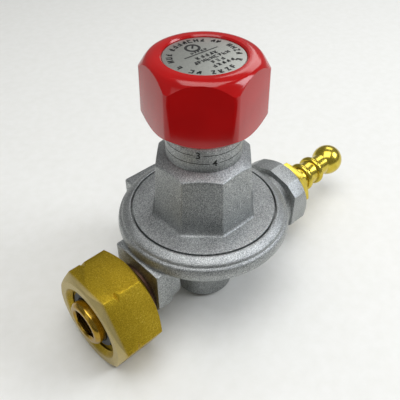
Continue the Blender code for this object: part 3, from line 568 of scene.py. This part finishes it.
def make_body():
    body = turned("body_casting", soften(body_profile(), 0.4, 3), 112)
    block = boss_outline(10.0, 12.6, -2.0, 3.4, -10.0)
    inlet = raised("inlet boss", block, 22.2, INLET_FACE, "-X", 0.7)
    combine(body, inlet)
    combine(body, turned("inlet barrel", soften([(0, 17.3, 0), (8.2, 17.3), (8.2, 24.0, 0),
                                                 (0, 24.0, 0)], 0.8), 64, "-X"))
    combine(body, raised("inlet rib", rib_outline(3.4, 8.0), 7.0, 22.9, "-X"))
    ridge = [(13.9, 0), (11.9, 7.9), (8.35, 12.0), (-4.4, 12.0), (-12.3, 5.0), (-12.3, -5.0),
             (-4.4, -12.0), (8.35, -12.0), (11.9, -7.9)]
    outlet = raised("outlet boss", ridge, 33.1, OUTLET_FACE, "+X")
    lathe_cut = turned("end turning", [(0, 31), (16, 31), (16, 37.0), (14.4, 38.6),
                                       (12.0, OUTLET_FACE), (0, OUTLET_FACE)], 96, "+X")
    combine(outlet, lathe_cut, "INTERSECT")
    break_edges(outlet, 0.45, 3, 24)
    combine(body, outlet)
    neck = [(0, 23.0, 0), (9.0, 23.0, 0), (10.5, 26.0, 0.8), (11.5, 33.5, 0), (0, 33.5, 0)]
    combine(body, turned("outlet neck", soften(neck, 0.5), 72, "+X"))
    combine(body, raised("outlet rib", rib_outline(5.2, 8.0), 7.2, 25.0, "+X"))
    top = FLANGE_H - 6.4
    side = [(7.0, top - 17.0), (7.0, top), (-7.0, top), (-7.0, top - 17.0), (-3.5, top - 20.0),
            (3.5, top - 20.0)]
    blank = raised("blank side boss", side, -33.3, -20.0, edge=0.7, steps=3)
    edit(blank)
    rotate(math.pi / 2, "X")
    done()
    combine(body, blank)
    web = raised("side web", [(-3.9, 7.0), (3.9, 7.0), (3.9, 21.0), (-3.9, 21.0)],
                 FLANGE_H - 22.0, FLANGE_H - 11.0, edge=0.8, steps=3)
    combine(body, web)
    return body


def bore(depth, face, passage, start):
    """Tapped port hole with a small countersink and the passage behind it."""
    r = PORT_BORE_R
    return [(0, start), (passage, start), (passage, face - depth), (r, face - depth),
            (r, face - 0.5), (r + 0.9, face + 0.4), (r + 0.9, face + 1.0), (0, face + 1.0)]


body = make_body()
inlet_bore = bore(depth=10.0, face=INLET_FACE, passage=1.6, start=2.0)
combine(body, turned("inlet bore", inlet_bore, 48, "-X"), "DIFFERENCE")
outlet_bore = bore(depth=10.5, face=OUTLET_FACE, passage=2.5, start=12.9)
combine(body, turned("outlet bore", outlet_bore, 48, "+X"), "DIFFERENCE")
riser = turned("riser", [(0, PORT_H - 0.7), (RISER_R, PORT_H - 0.7), (RISER_R, 25.4),
                         (0, 25.4)], 32)
move(riser, RISER_X, 0, 0)
combine(body, riser, "DIFFERENCE")
finish(body, ZINC, "body", "regulator_body", 30)

# %% [markdown]
# ## Bonnet
# A second casting: a raised disc inside the rolled rim, an eight-sided tower that flares
# softly into it, a turned slope and the round neck that carries the scale.

# %% Bonnet
TOWER_H = 20.8              # top of the turned slope, above the flange
TOWER_FOOT_R = 16.2
TOWER_TOP_R = 14.95
SCREW_ROOT_R = 8.2          # tapped bore for the adjusting screw
SCREW_CREST_R = 8.75
SCREW_PITCH = 2.0
BREATHER_R = 0.9


def make_bonnet():
    f = FLANGE_H
    disc = [
        (0, f - 2.2, 0), (16.6, f - 2.2), (19.5, f - 3.8), (19.5, f - 4.6), (25.1, f - 4.6),
        (25.1, f - 1.5), (22.6, f - 1.5, 0.1), (22.6, f, 0.3), (0, f, 0),
    ]
    bonnet = turned("bonnet_casting", soften(disc, 0.3), 112)
    slope = (TOWER_TOP_R - TOWER_FOOT_R) / TOWER_H
    levels = [(17.5, f - 0.3), (17.0, f + 0.12), (16.6, f + 0.5), (16.28, f + 1.2)]
    levels += [(TOWER_FOOT_R + slope * z, f + z) for z in (2.5, 10.0, 18.0, 22.0)]
    tower = stacked("tower", 8, levels, math.pi / 8, corner=0.35, corner_steps=3)
    slope_cut = [(0, f - 2), (19, f - 2), (19, f + 18.8 - 2.19), (NECK_R, f + TOWER_H),
                 (0, f + TOWER_H)]
    combine(tower, turned("slope", slope_cut, 112), "INTERSECT")
    break_edges(tower, 0.3, 3, 20)
    combine(bonnet, tower)
    neck = [(0, f + 15, 0), (NECK_R, f + 15, 0), (NECK_R, f + NECK_TOP, 0.6),
            (0, f + NECK_TOP, 0)]
    combine(bonnet, turned("neck", soften(neck, 0.5), 112))
    inside = [
        (0, f - 6), (11.3, f - 6), (11.3, f - 2.2), (10.4, f + 1.0), (10.4, f + 8.0),
        (9.5, f + 8.9), (9.5, f + 22.4), (SCREW_ROOT_R, f + 23.4),
    ]
    inside += thread_rings(f + 24.2, f + 37.0, SCREW_PITCH, SCREW_ROOT_R, SCREW_CREST_R,
                           rise=0.9, run=1.1)
    inside += [(SCREW_ROOT_R, f + 37.7), (9.1, f + 38.6), (9.1, f + 39.5), (0, f + 39.5)]
    combine(bonnet, turned("inside", inside, 96), "DIFFERENCE")
    hole = turned("breather", [(0, 8.0), (BREATHER_R, 8.0), (BREATHER_R, 18.0), (0, 18.0)],
                  24, "+X")
    edit(hole)
    bpy.ops.transform.translate(value=(0, 0, (f + 6.0 - PORT_H) * MM))
    rotate(math.radians(45), "Z")
    done()
    combine(bonnet, hole, "DIFFERENCE")
    return bonnet


bonnet = finish(make_bonnet(), ZINC, "bonnet", "regulator_body", 30)

# %% [markdown]
# ## Printed scale on the neck
# One line per bar, 2.7 mm apart, each broken where its number stands.  The knob's lower
# edge reads against them.  The ink stands a few hundredths proud of the casting.

# %% Scale lines and numbers
INK_START = NECK_R - 0.02   # the ink begins just inside the neck
NUMBER_SIZE = 3.0
NUMBER_GAP = 15             # degrees left open around a number
SCALE_MARKS = (             # number, height above the flange, angle about the neck
    ("4", 23.7, -117.7), ("3", 26.4, -141.5), ("2", 29.1, -164.5), ("1", 31.8, 172.5),
)


def scale_line(height, gap_at, gap):
    """Thin printed line around the neck, left open around its number."""
    clean_start()
    bpy.ops.mesh.primitive_plane_add(size=MM)
    line = bpy.context.object
    line.name = "scale line"
    edit(line)
    bpy.ops.transform.resize(value=(0.1, 0.2, 1), center_override=(0, 0, 0))
    rotate(math.pi / 2, "X")
    bpy.ops.transform.translate(value=(INK_START * MM, 0, (FLANGE_H + height) * MM))
    rotate(math.radians(gap_at - gap / 2), "Z")
    bpy.ops.mesh.spin(steps=90, angle=2 * math.pi - math.radians(gap), center=(0, 0, 0),
                      axis=(0, 0, 1))
    bpy.ops.mesh.select_all(action="SELECT")
    bpy.ops.mesh.normals_make_consistent(inside=False)
    done()
    return line


def raised_text(words, size, name):
    """Flat lettering as a thin solid, centred on the origin."""
    clean_start()
    bpy.ops.object.text_add(location=(0, 0, 0))
    text = bpy.context.object
    text.data.body = words
    text.data.size = size * MM
    text.data.align_x = "CENTER"
    text.data.align_y = "CENTER"
    text.data.extrude = 0.06 * MM
    text.data.offset = 0.04 * MM
    text.data.resolution_u = 3
    text.name = name
    bpy.ops.object.convert(target="MESH")
    return bpy.context.object


def number_on_neck(words, height, angle):
    text = raised_text(words, NUMBER_SIZE, "scale number " + words)
    edit(text)
    rotate(math.pi / 2, "X")
    rotate(math.pi / 2, "Z")
    bpy.ops.transform.translate(value=(INK_START * MM, 0, (FLANGE_H + height) * MM))
    rotate(math.radians(angle), "Z")
    done()
    return text


def join_pieces(pieces, name):
    only(pieces[0])
    for piece in pieces[1:]:
        piece.select_set(True)
    bpy.ops.object.join()
    pieces[0].name = name
    pieces[0].data.name = name
    return pieces[0]


scale = []
for words, height, angle in SCALE_MARKS:
    scale += [scale_line(height, angle, NUMBER_GAP), number_on_neck(words, height, angle)]
finish(join_pieces(scale, "printed_scale"), INK, None, "regulator_body")

# %% [markdown]
# ## Knob
# A moulded hexagon with well rounded corners and a little draft, trimmed by a turned
# envelope: a cone at the foot, a crowned ring at the top.  Inside it is hollow around the
# neck, with a hub that grips the adjusting screw.

# %% Knob
KNOB_TURN = math.radians(-16.2)
KNOB_FOOT_AF = 31.4         # across flats; the mould's draft makes the top narrower
KNOB_TOP_AF = 30.6


def make_knob():
    f = FLANGE_H
    low, top = hexagon_radius(KNOB_FOOT_AF), hexagon_radius(KNOB_TOP_AF)
    knob = stacked("red_knob", 6, [(low * 1.002, f + 29), (top * 0.998, f + 52)], KNOB_TURN,
                   corner=1.27, corner_steps=8)
    outline = [
        (0, f + 30.0, 0), (13.3, f + 30.0, 0.3), (18.6, f + 34.9, 0), (18.4, f + 46.3, 0),
        (17.4, f + 46.95, 0.5), (15.75, f + 49.4, 0.8), (15.0, f + 50.2, 0.6),
        (13.4, f + 50.8, 0.8), (0, f + 50.8, 0),
    ]
    combine(knob, turned("knob envelope", soften(outline, 0.3, 4), 128), "INTERSECT")
    break_edges(knob, 0.4, 3, 18)
    recess = [(0, f + 49.6, 0), (11.15, f + 49.6, 0), (11.15, f + 50.35, 0.1),
              (11.8, f + 51.0, 0), (0, f + 51.0, 0)]
    combine(knob, turned("label recess", soften(recess, 0.1), 128), "DIFFERENCE")
    cavity = [(7.8, f + 29.0), (12.3, f + 29.0), (12.3, f + 30.0), (12.0, f + 30.5),
              (12.0, f + 46.2), (7.8, f + 46.2)]
    combine(knob, turned("cavity", cavity, 96), "DIFFERENCE")
    hub = turned("hub end", [(0, f + 28.5), (8.3, f + 28.5), (8.3, f + 41.9), (0, f + 41.9)], 96)
    combine(knob, hub, "DIFFERENCE")
    socket = stacked("hub socket", 6, [(5.85, f + 41.0), (5.85, f + 46.6)],
                     KNOB_TURN + math.pi / 6)
    combine(knob, socket, "DIFFERENCE")
    screw = [(0, f + 41.9), (2.4, f + 41.9), (2.4, f + 48.0), (4.2, f + 48.0), (4.2, f + 50.0),
             (0, f + 50.0)]
    combine(knob, turned("screw hole", screw, 48), "DIFFERENCE")
    return knob


knob = finish(make_knob(), RED, "knob", "knob_group", 34)

# %% [markdown]
# ## Label
# A satin aluminium disc pressed into the knob's top.  Its print is only suggested: short
# strokes stand for lettering around the rim and in rows, with a plain ring and pointer,
# so no name, number or mark is carried over.

# %% Label disc and print
LABEL_TOP = FLANGE_H + 50.2
LABEL_T = 0.5
LABEL_R = 11.0
plate = [(0, LABEL_TOP - LABEL_T, 0), (LABEL_R, LABEL_TOP - LABEL_T), (LABEL_R, LABEL_TOP),
         (0, LABEL_TOP, 0)]
label = turned("label_plate", soften(plate, 0.12), 128)
finish(label, LABEL, "label_disc", "knob_group")

PRINT_T = 0.02
RIM_PRINT_R = 9.15          # radius on which the signs around the rim stand


def stroke(x, y, length, width, angle):
    """One short ink stroke on the label."""
    clean_start()
    bpy.ops.mesh.primitive_cube_add(size=MM)
    piece = bpy.context.object
    edit(piece)
    bpy.ops.transform.resize(value=(length, width, PRINT_T), center_override=(0, 0, 0))
    rotate(angle, "Z")
    bpy.ops.transform.translate(value=(x * MM, y * MM, (LABEL_TOP + PRINT_T / 2) * MM))
    done()
    return piece


def sign(dice, x, y, size, turn):
    """A made-up sign of two or three strokes, upright in its own direction."""
    ux, uy = math.cos(turn), math.sin(turn)
    marks = []
    kinds = dice.sample(range(6), 3)
    for kind in kinds:
        dx, dy, length, lean = (
            (-0.26, 0, 0.95, math.pi / 2), (0.26, 0, 0.95, math.pi / 2),
            (0, 0.4, 0.6, 0), (0, -0.4, 0.6, 0), (0, 0, 0.55, 0), (0.02, 0, 0.95, 1.15),
        )[kind]
        px = x + size * (dx * ux - dy * uy)
        py = y + size * (dx * uy + dy * ux)
        marks.append(stroke(px, py, length * size, 0.27 * size, turn + lean))
    return marks


def row_of_signs(dice, x, y, length, size, turn):
    """A row of signs centred on a point."""
    count = max(2, int(length / (size * 0.92)))
    marks = []
    for i in range(count):
        along = (i - (count - 1) / 2) * length / count
        marks += sign(dice, x + along * math.cos(turn), y + along * math.sin(turn), size, turn)
    return marks


def arc_of_signs(dice, start, end, radius, size, outward, skip=()):
    """Signs around the rim from one polar angle to another, in degrees."""
    count = int(abs(end - start) / math.degrees(size / radius)) + 1
    marks = []
    for i in range(count):
        if i in skip:
            continue
        a = math.radians(start + (end - start) * i / (count - 1))
        turn = a - math.pi / 2 if outward else a + math.pi / 2
        marks += sign(dice, radius * math.cos(a), radius * math.sin(a), size, turn)
    return marks


def make_print():
    dice = random.Random(11)
    turn = math.radians(-4)
    marks = arc_of_signs(dice, 116, 50, RIM_PRINT_R, 1.75, True)
    marks += arc_of_signs(dice, 32, -33, RIM_PRINT_R, 1.7, True, (2,))
    marks += arc_of_signs(dice, -119, -57, RIM_PRINT_R, 1.7, False, (4,))
    marks += arc_of_signs(dice, 218, 136, RIM_PRINT_R, 1.7, True, (2, 4))
    marks += [stroke(0.6, 1.75, 11.0, 0.42, turn)]
    marks += row_of_signs(dice, 0.6, 2.75, 5.4, 1.0, turn)
    marks += row_of_signs(dice, 0.7, -0.1, 7.4, 1.4, turn)
    marks += row_of_signs(dice, 0.7, -2.1, 12.0, 1.4, turn)
    marks += row_of_signs(dice, 0.9, -4.1, 4.4, 1.35, turn)
    marks += row_of_signs(dice, 0.9, -6.1, 7.4, 1.4, turn)
    return marks


def make_emblem():
    """Plain ring with a pointer, as on any dial."""
    ring = [(1.45, LABEL_TOP), (2.2, LABEL_TOP), (2.2, LABEL_TOP + PRINT_T),
            (1.45, LABEL_TOP + PRINT_T)]
    piece = turned("ring mark", ring, 48)
    move(piece, 0.7, 5.3, 0)
    return [piece, stroke(1.1, 5.7, 1.8, 0.55, math.radians(45))]


ink = join_pieces(make_emblem() + make_print(), "label_print")
finish(ink, INK, None, "knob_group")

# %% [markdown]
# ## Union nut
# Hexagon bar with both ends turned, a left-hand mark cut across every corner, and rings
# inside that stand for the female thread on the bottle valve.

# %% Union nut
NUT_AF = 30.0
NUT_TURN = math.radians(1.8)
NUT_BACK, NUT_FACE = 31.2, 47.0     # ends of the nut, from the main axis
NUT_FACE_R = 14.4                   # flat ring left on each turned end
NUT_MARK = 40.85                    # middle of the marks on the corners
NUT_ROOT_R, NUT_CREST_R, NUT_PITCH = 10.6, 11.3, 1.81


def make_nut():
    corner = hexagon_radius(NUT_AF)
    outside = corner + 1
    nut = stacked("hexagon_nut", 6, [(corner, NUT_BACK), (corner, NUT_FACE)], NUT_TURN, "-X",
                  corner=0.12, corner_steps=2)
    chamfer = 1.75 * (outside - NUT_FACE_R) / 2.92
    ends = [(0, NUT_BACK), (NUT_FACE_R, NUT_BACK), (outside, NUT_BACK + chamfer),
            (outside, NUT_FACE - chamfer), (NUT_FACE_R, NUT_FACE), (0, NUT_FACE)]
    combine(nut, turned("turned ends", ends, 128, "-X"), "INTERSECT")
    mark = [(corner - 0.9, NUT_MARK), (outside, NUT_MARK - 1.9), (outside, NUT_MARK + 1.9)]
    combine(nut, turned("corner marks", mark, 128, "-X"), "DIFFERENCE")
    break_edges(nut, 0.24, 3, 20)
    inside = [(0, 30.0), (9.3, 30.0), (9.3, 31.1), (8.5, 31.9), (8.5, 36.0),
              (NUT_ROOT_R, 36.0)]
    inside += thread_rings(36.5, 44.0, NUT_PITCH, NUT_ROOT_R, NUT_CREST_R, rise=0.85, run=0.97)
    inside += [(NUT_ROOT_R, 45.5), (12.1, NUT_FACE), (12.6, 47.6), (0, 47.6)]
    combine(nut, turned("nut thread", inside, 128, "-X"), "DIFFERENCE")
    move(nut, 0, 0, -NUT_DROP)
    return nut


finish(make_nut(), NUT_BRASS, "union_nut", "union_nut", 28)

# %% [markdown]
# ## Tailpiece and rubber ring
# The turned fitting that the nut pulls on the bottle valve: thread into the body, a collar
# behind the rubber ring, and a nose with a hexagon socket for its key.

# %% Tailpiece and rubber ring
TAIL_BORE_R = 2.5
TAIL_END = 48.8
COLLAR_R = 9.3              # the rubber ring has the same outer radius
NOSE_R = 7.1
SOCKET_AF = 8.5
PIPE_ROOT_R, PIPE_CREST_R, PIPE_PITCH = 5.75, 6.3, 1.337


def pipe_thread(start, end):
    """Rings on the end that screws into a port."""
    return thread_rings(start, end, PIPE_PITCH, PIPE_ROOT_R, PIPE_CREST_R, rise=0.55, run=0.7,
                        rounding=0.05)


def make_tailpiece():
    profile = [(TAIL_BORE_R, 19.5, 0), (5.5, 19.5, 0)] + pipe_thread(19.9, 27.2)
    profile += [(PIPE_ROOT_R, 28.2, 0), (5.9, 29.2, 0), (8.6, 29.2, 0.2), (8.6, 30.8, 0.2),
                (7.2, 31.2, 0.2), (7.2, 36.3, 0.1), (COLLAR_R, 36.3, 0.2),
                (COLLAR_R, 42.5, 0.4), (NOSE_R, 42.5, 0.15), (NOSE_R, 47.9, 0.4),
                (6.3, TAIL_END, 0.35), (5.2, TAIL_END, 0.15), (4.7, 48.3, 0),
                (TAIL_BORE_R, 48.3, 0)]
    tail = turned("turned_tailpiece", soften(profile, 0.1), 96, "-X")
    corner = hexagon_radius(SOCKET_AF)
    socket = stacked("key socket", 6, [(corner, 40.0), (corner, 50.0)], math.pi / 6, "-X")
    combine(tail, socket, "DIFFERENCE")
    return tail


# The tailpiece's darker brass is painted shade.
finish(make_tailpiece(), SHADED_TAIL_BRASS, "inlet_tailpiece", "regulator_body", 28)
seal = [(7.3, 42.6), (COLLAR_R, 42.6), (COLLAR_R, 45.7, 0.6), (8.3, 45.45, 0.4),
        (7.3, 45.7, 0.4)]
finish(turned("rubber_sealing_ring", soften(seal, 0.2), 96, "-X"), RUBBER, "inlet_seal",
       "regulator_body")
finish(washer("copper_washer", PORT_BORE_R, 8.6, 28.1, 29.1, "-X"), COPPER,
       "tailpiece_washer", "regulator_body")

# %% [markdown]
# ## Hose nozzle
# Turned from hexagon bar: a hexagon for the spanner, a slim neck, two rounded beads that
# hold the hose, and a ball at the end.

# %% Hose nozzle
NOZZLE_BORE_R = 2.3
NOZZLE_AF = 16.0
NOZZLE_TURN = math.radians(9.8)
HEXAGON_START, HEXAGON_END = 42.0, 47.0     # from the main axis
NECK_SHORT_R = 4.5                          # up to the second bead
NECK_LONG_R = 4.15                          # between the second bead and the ball
BEAD_R = 5.65
BEAD_ONE, BEAD_TWO = 52.9, 59.3             # middles of the beads, from the main axis
BALL_R = 5.95
BALL_X = 69.6


def bead(middle, low, high, half=1.3):
    """Outline of a bead around the nozzle, with a tight corner where it meets the neck."""
    points = [(low, middle - half, 0.1)]
    for k in range(1, 8):
        a = math.pi * k / 8
        base = low if k < 4 else high
        points.append((base + (BEAD_R - base) * math.sin(a) ** 0.8,
                       middle - half * math.cos(a), 0))
    return points + [(high, middle + half, 0.1)]


def ball():
    """Outline of the round end, from the neck to the bore's mouth."""
    start = math.asin(NECK_LONG_R / BALL_R)
    end = math.pi - math.asin((NOZZLE_BORE_R + 0.35) / BALL_R)
    steps = 18
    angles = [start + (end - start) * k / steps for k in range(steps + 1)]
    return [(BALL_R * math.sin(a), BALL_X - BALL_R * math.cos(a), 0) for a in angles]


def make_nozzle():
    profile = [(NOZZLE_BORE_R, 31.5, 0), (5.5, 31.5, 0)] + pipe_thread(31.9, 39.4)
    profile += [(PIPE_ROOT_R, 41.6, 0), (5.9, 42.3, 0), (5.6, 42.3, 0),
                (5.6, HEXAGON_END, 0.1), (5.0, 47.9, 0.5), (NECK_SHORT_R, 49.4, 0.5)]
    profile += bead(BEAD_ONE, NECK_SHORT_R, NECK_SHORT_R)
    profile += bead(BEAD_TWO, NECK_SHORT_R, NECK_LONG_R)
    profile += ball() + [(NOZZLE_BORE_R, 74.9, 0)]
    nozzle = turned("beaded_nozzle", soften(profile, 0.4, 4), 96, "+X")
    corner = hexagon_radius(NOZZLE_AF)
    flange = stacked("nozzle hexagon", 6, [(corner, HEXAGON_START), (corner, HEXAGON_END)],
                     NOZZLE_TURN, "+X", corner=0.1, corner_steps=2)
    ends = [(0, HEXAGON_START), (8.3, HEXAGON_START), (9.4, HEXAGON_START + 0.6),
            (9.4, HEXAGON_END - 0.6), (8.3, HEXAGON_END), (0, HEXAGON_END)]
    combine(flange, turned("hexagon turning", ends, 96, "+X"), "INTERSECT")
    break_edges(flange, 0.12, 2, 20)
    hole = turned("flange hole", [(0, 41), (4.0, 41), (4.0, 48), (0, 48)], 48, "+X")
    combine(flange, hole, "DIFFERENCE")
    combine(nozzle, flange)
    return nozzle


finish(make_nozzle(), NOZZLE_BRASS, "hose_nozzle", "regulator_body", 28)
finish(washer("fibre_washer", PORT_BORE_R, 8.8, 41.1, 41.9, "+X"), FIBRE, "nozzle_washer",
       "regulator_body")

# %% [markdown]
# ## Inner pieces
# The inner pieces keep their CAD shape and take the finish of their own material.

# %% Inner pieces
FINISHES = {"cast_zinc": ZINC, "knob_plastic": RED, "label_aluminium": LABEL,
            "plated_steel": STEEL, "spring_steel": WIRE, "brass": INNER_BRASS,
            "rubber": RUBBER, "copper": COPPER, "sintered_bronze": BRONZE,
            "sealing_fibre": FIBRE}
for part in record["subparts"]:
    cad = frame["nodes"][part["node"]]
    cad.data.materials.clear()
    cad.data.materials.append(FINISHES[part["material_slot"]])
print(len(record["subparts"]), "CAD pieces painted")

# %% [markdown]
# ## Floor, light and camera
# A pale floor under a soft key light, a larger and stronger light overhead, and two weak
# ones behind and to the left.  A dark card, seen only in reflections, lies before the
# object.  The camera looks down over the union nut's side.

# %% Floor
lowest = min((o.matrix_world @ Vector(c)).z for o in bpy.data.objects if o.type == "MESH"
             and not o.hide_render for c in o.bound_box)
clean_start()
bpy.ops.mesh.primitive_plane_add(size=6.0, location=(0, 0, 0))
floor = bpy.context.object
floor.name = "studio floor"
edit(floor)
bpy.ops.transform.translate(value=(0, 0, lowest))
done()
floor_paint = make_grainy("pale studio floor", [(0.3, "#E6E6E1"), (0.7, "#EAEAE6")], 0.0,
                          0.7, 0.8, 4.0)
floor.data.materials.append(floor_paint)
print("floor at", round(lowest * 1000, 2), "mm")

# %% Lights
AIM = Vector((0, 0, 0.03))


def area_light(name, place, size, power, tint="#FFFFFF"):
    """Rectangular light aimed at the middle of the object; places are in metres."""
    clean_start()
    bpy.ops.object.light_add(type="AREA", location=place)
    lamp = bpy.context.object
    lamp.name = name
    lamp.data.shape = "RECTANGLE"
    lamp.data.size, lamp.data.size_y = size
    lamp.data.energy = power
    lamp.data.color = colour(tint)[:3]
    lamp.rotation_euler = (AIM - Vector(place)).to_track_quat("-Z", "Y").to_euler()
    return lamp


LIGHTS = [
    area_light("key softbox", (0.38, -0.36, 0.44), (0.34, 0.26), 2.0, "#F4F8FF"),
    area_light("top softbox", (-0.06, -0.04, 0.62), (0.50, 0.50), 2.6),
    area_light("back softbox", (0.40, 0.17, 0.36), (0.26, 0.20), 0.4),
    area_light("left fill", (-0.55, 0.02, 0.24), (0.20, 0.30), 0.12),
]


def studio_world():
    """Grey surroundings for the light, a pale backdrop where the camera looks past the floor."""
    world = bpy.data.worlds.new("studio")
    bpy.context.scene.world = world
    world.use_nodes = True
    seen = node(world, "ShaderNodeLightPath").outputs["Is Camera Ray"]
    strength = node(world, "ShaderNodeMapRange", {"Value": seen, "To Min": 0.24, "To Max": 0.8})
    background = world.node_tree.nodes["Background"]
    background.inputs["Color"].default_value = colour("#FFFFFF")
    world.node_tree.links.new(strength.outputs["Result"], background.inputs["Strength"])


studio_world()
bpy.context.scene.view_settings.view_transform = "Standard"

# %% Black card
def black_card():
    """Dark card lying before the object: it darkens what the near flats mirror."""
    clean_start()
    bpy.ops.mesh.primitive_plane_add(size=1.0)
    card = bpy.context.object
    card.name = "black card"
    edit(card)
    bpy.ops.transform.resize(value=(0.30, 0.34, 1), center_override=(0, 0, 0))
    bpy.ops.transform.translate(value=(0.245, 0, lowest + 0.001))
    rotate(math.radians(-133.7), "Z")
    done()
    card.data.materials.append(make_grainy("black card", [(0.3, "#101010"), (0.7, "#141414")],
                                           0.0, 0.8, 0.9, 4.0))
    card.visible_camera = False
    card.visible_shadow = False
    card.visible_diffuse = False
    return card


card = black_card()

# %% Camera
CAMERA_AT = Vector((-0.08754, -0.09171, 0.14687))
CAMERA_LOOK = Vector((0.5152, 0.5486, -0.6585))
clean_start()
bpy.ops.object.camera_add(location=CAMERA_AT)
camera = bpy.context.object
camera.rotation_euler = CAMERA_LOOK.to_track_quat("-Z", "Y").to_euler()
camera.data.lens = 47.84
camera.data.sensor_width = 36.0
camera.data.shift_x = -0.0007
camera.data.shift_y = -0.0042
camera.data.clip_start = 0.005
bpy.context.scene.camera = camera
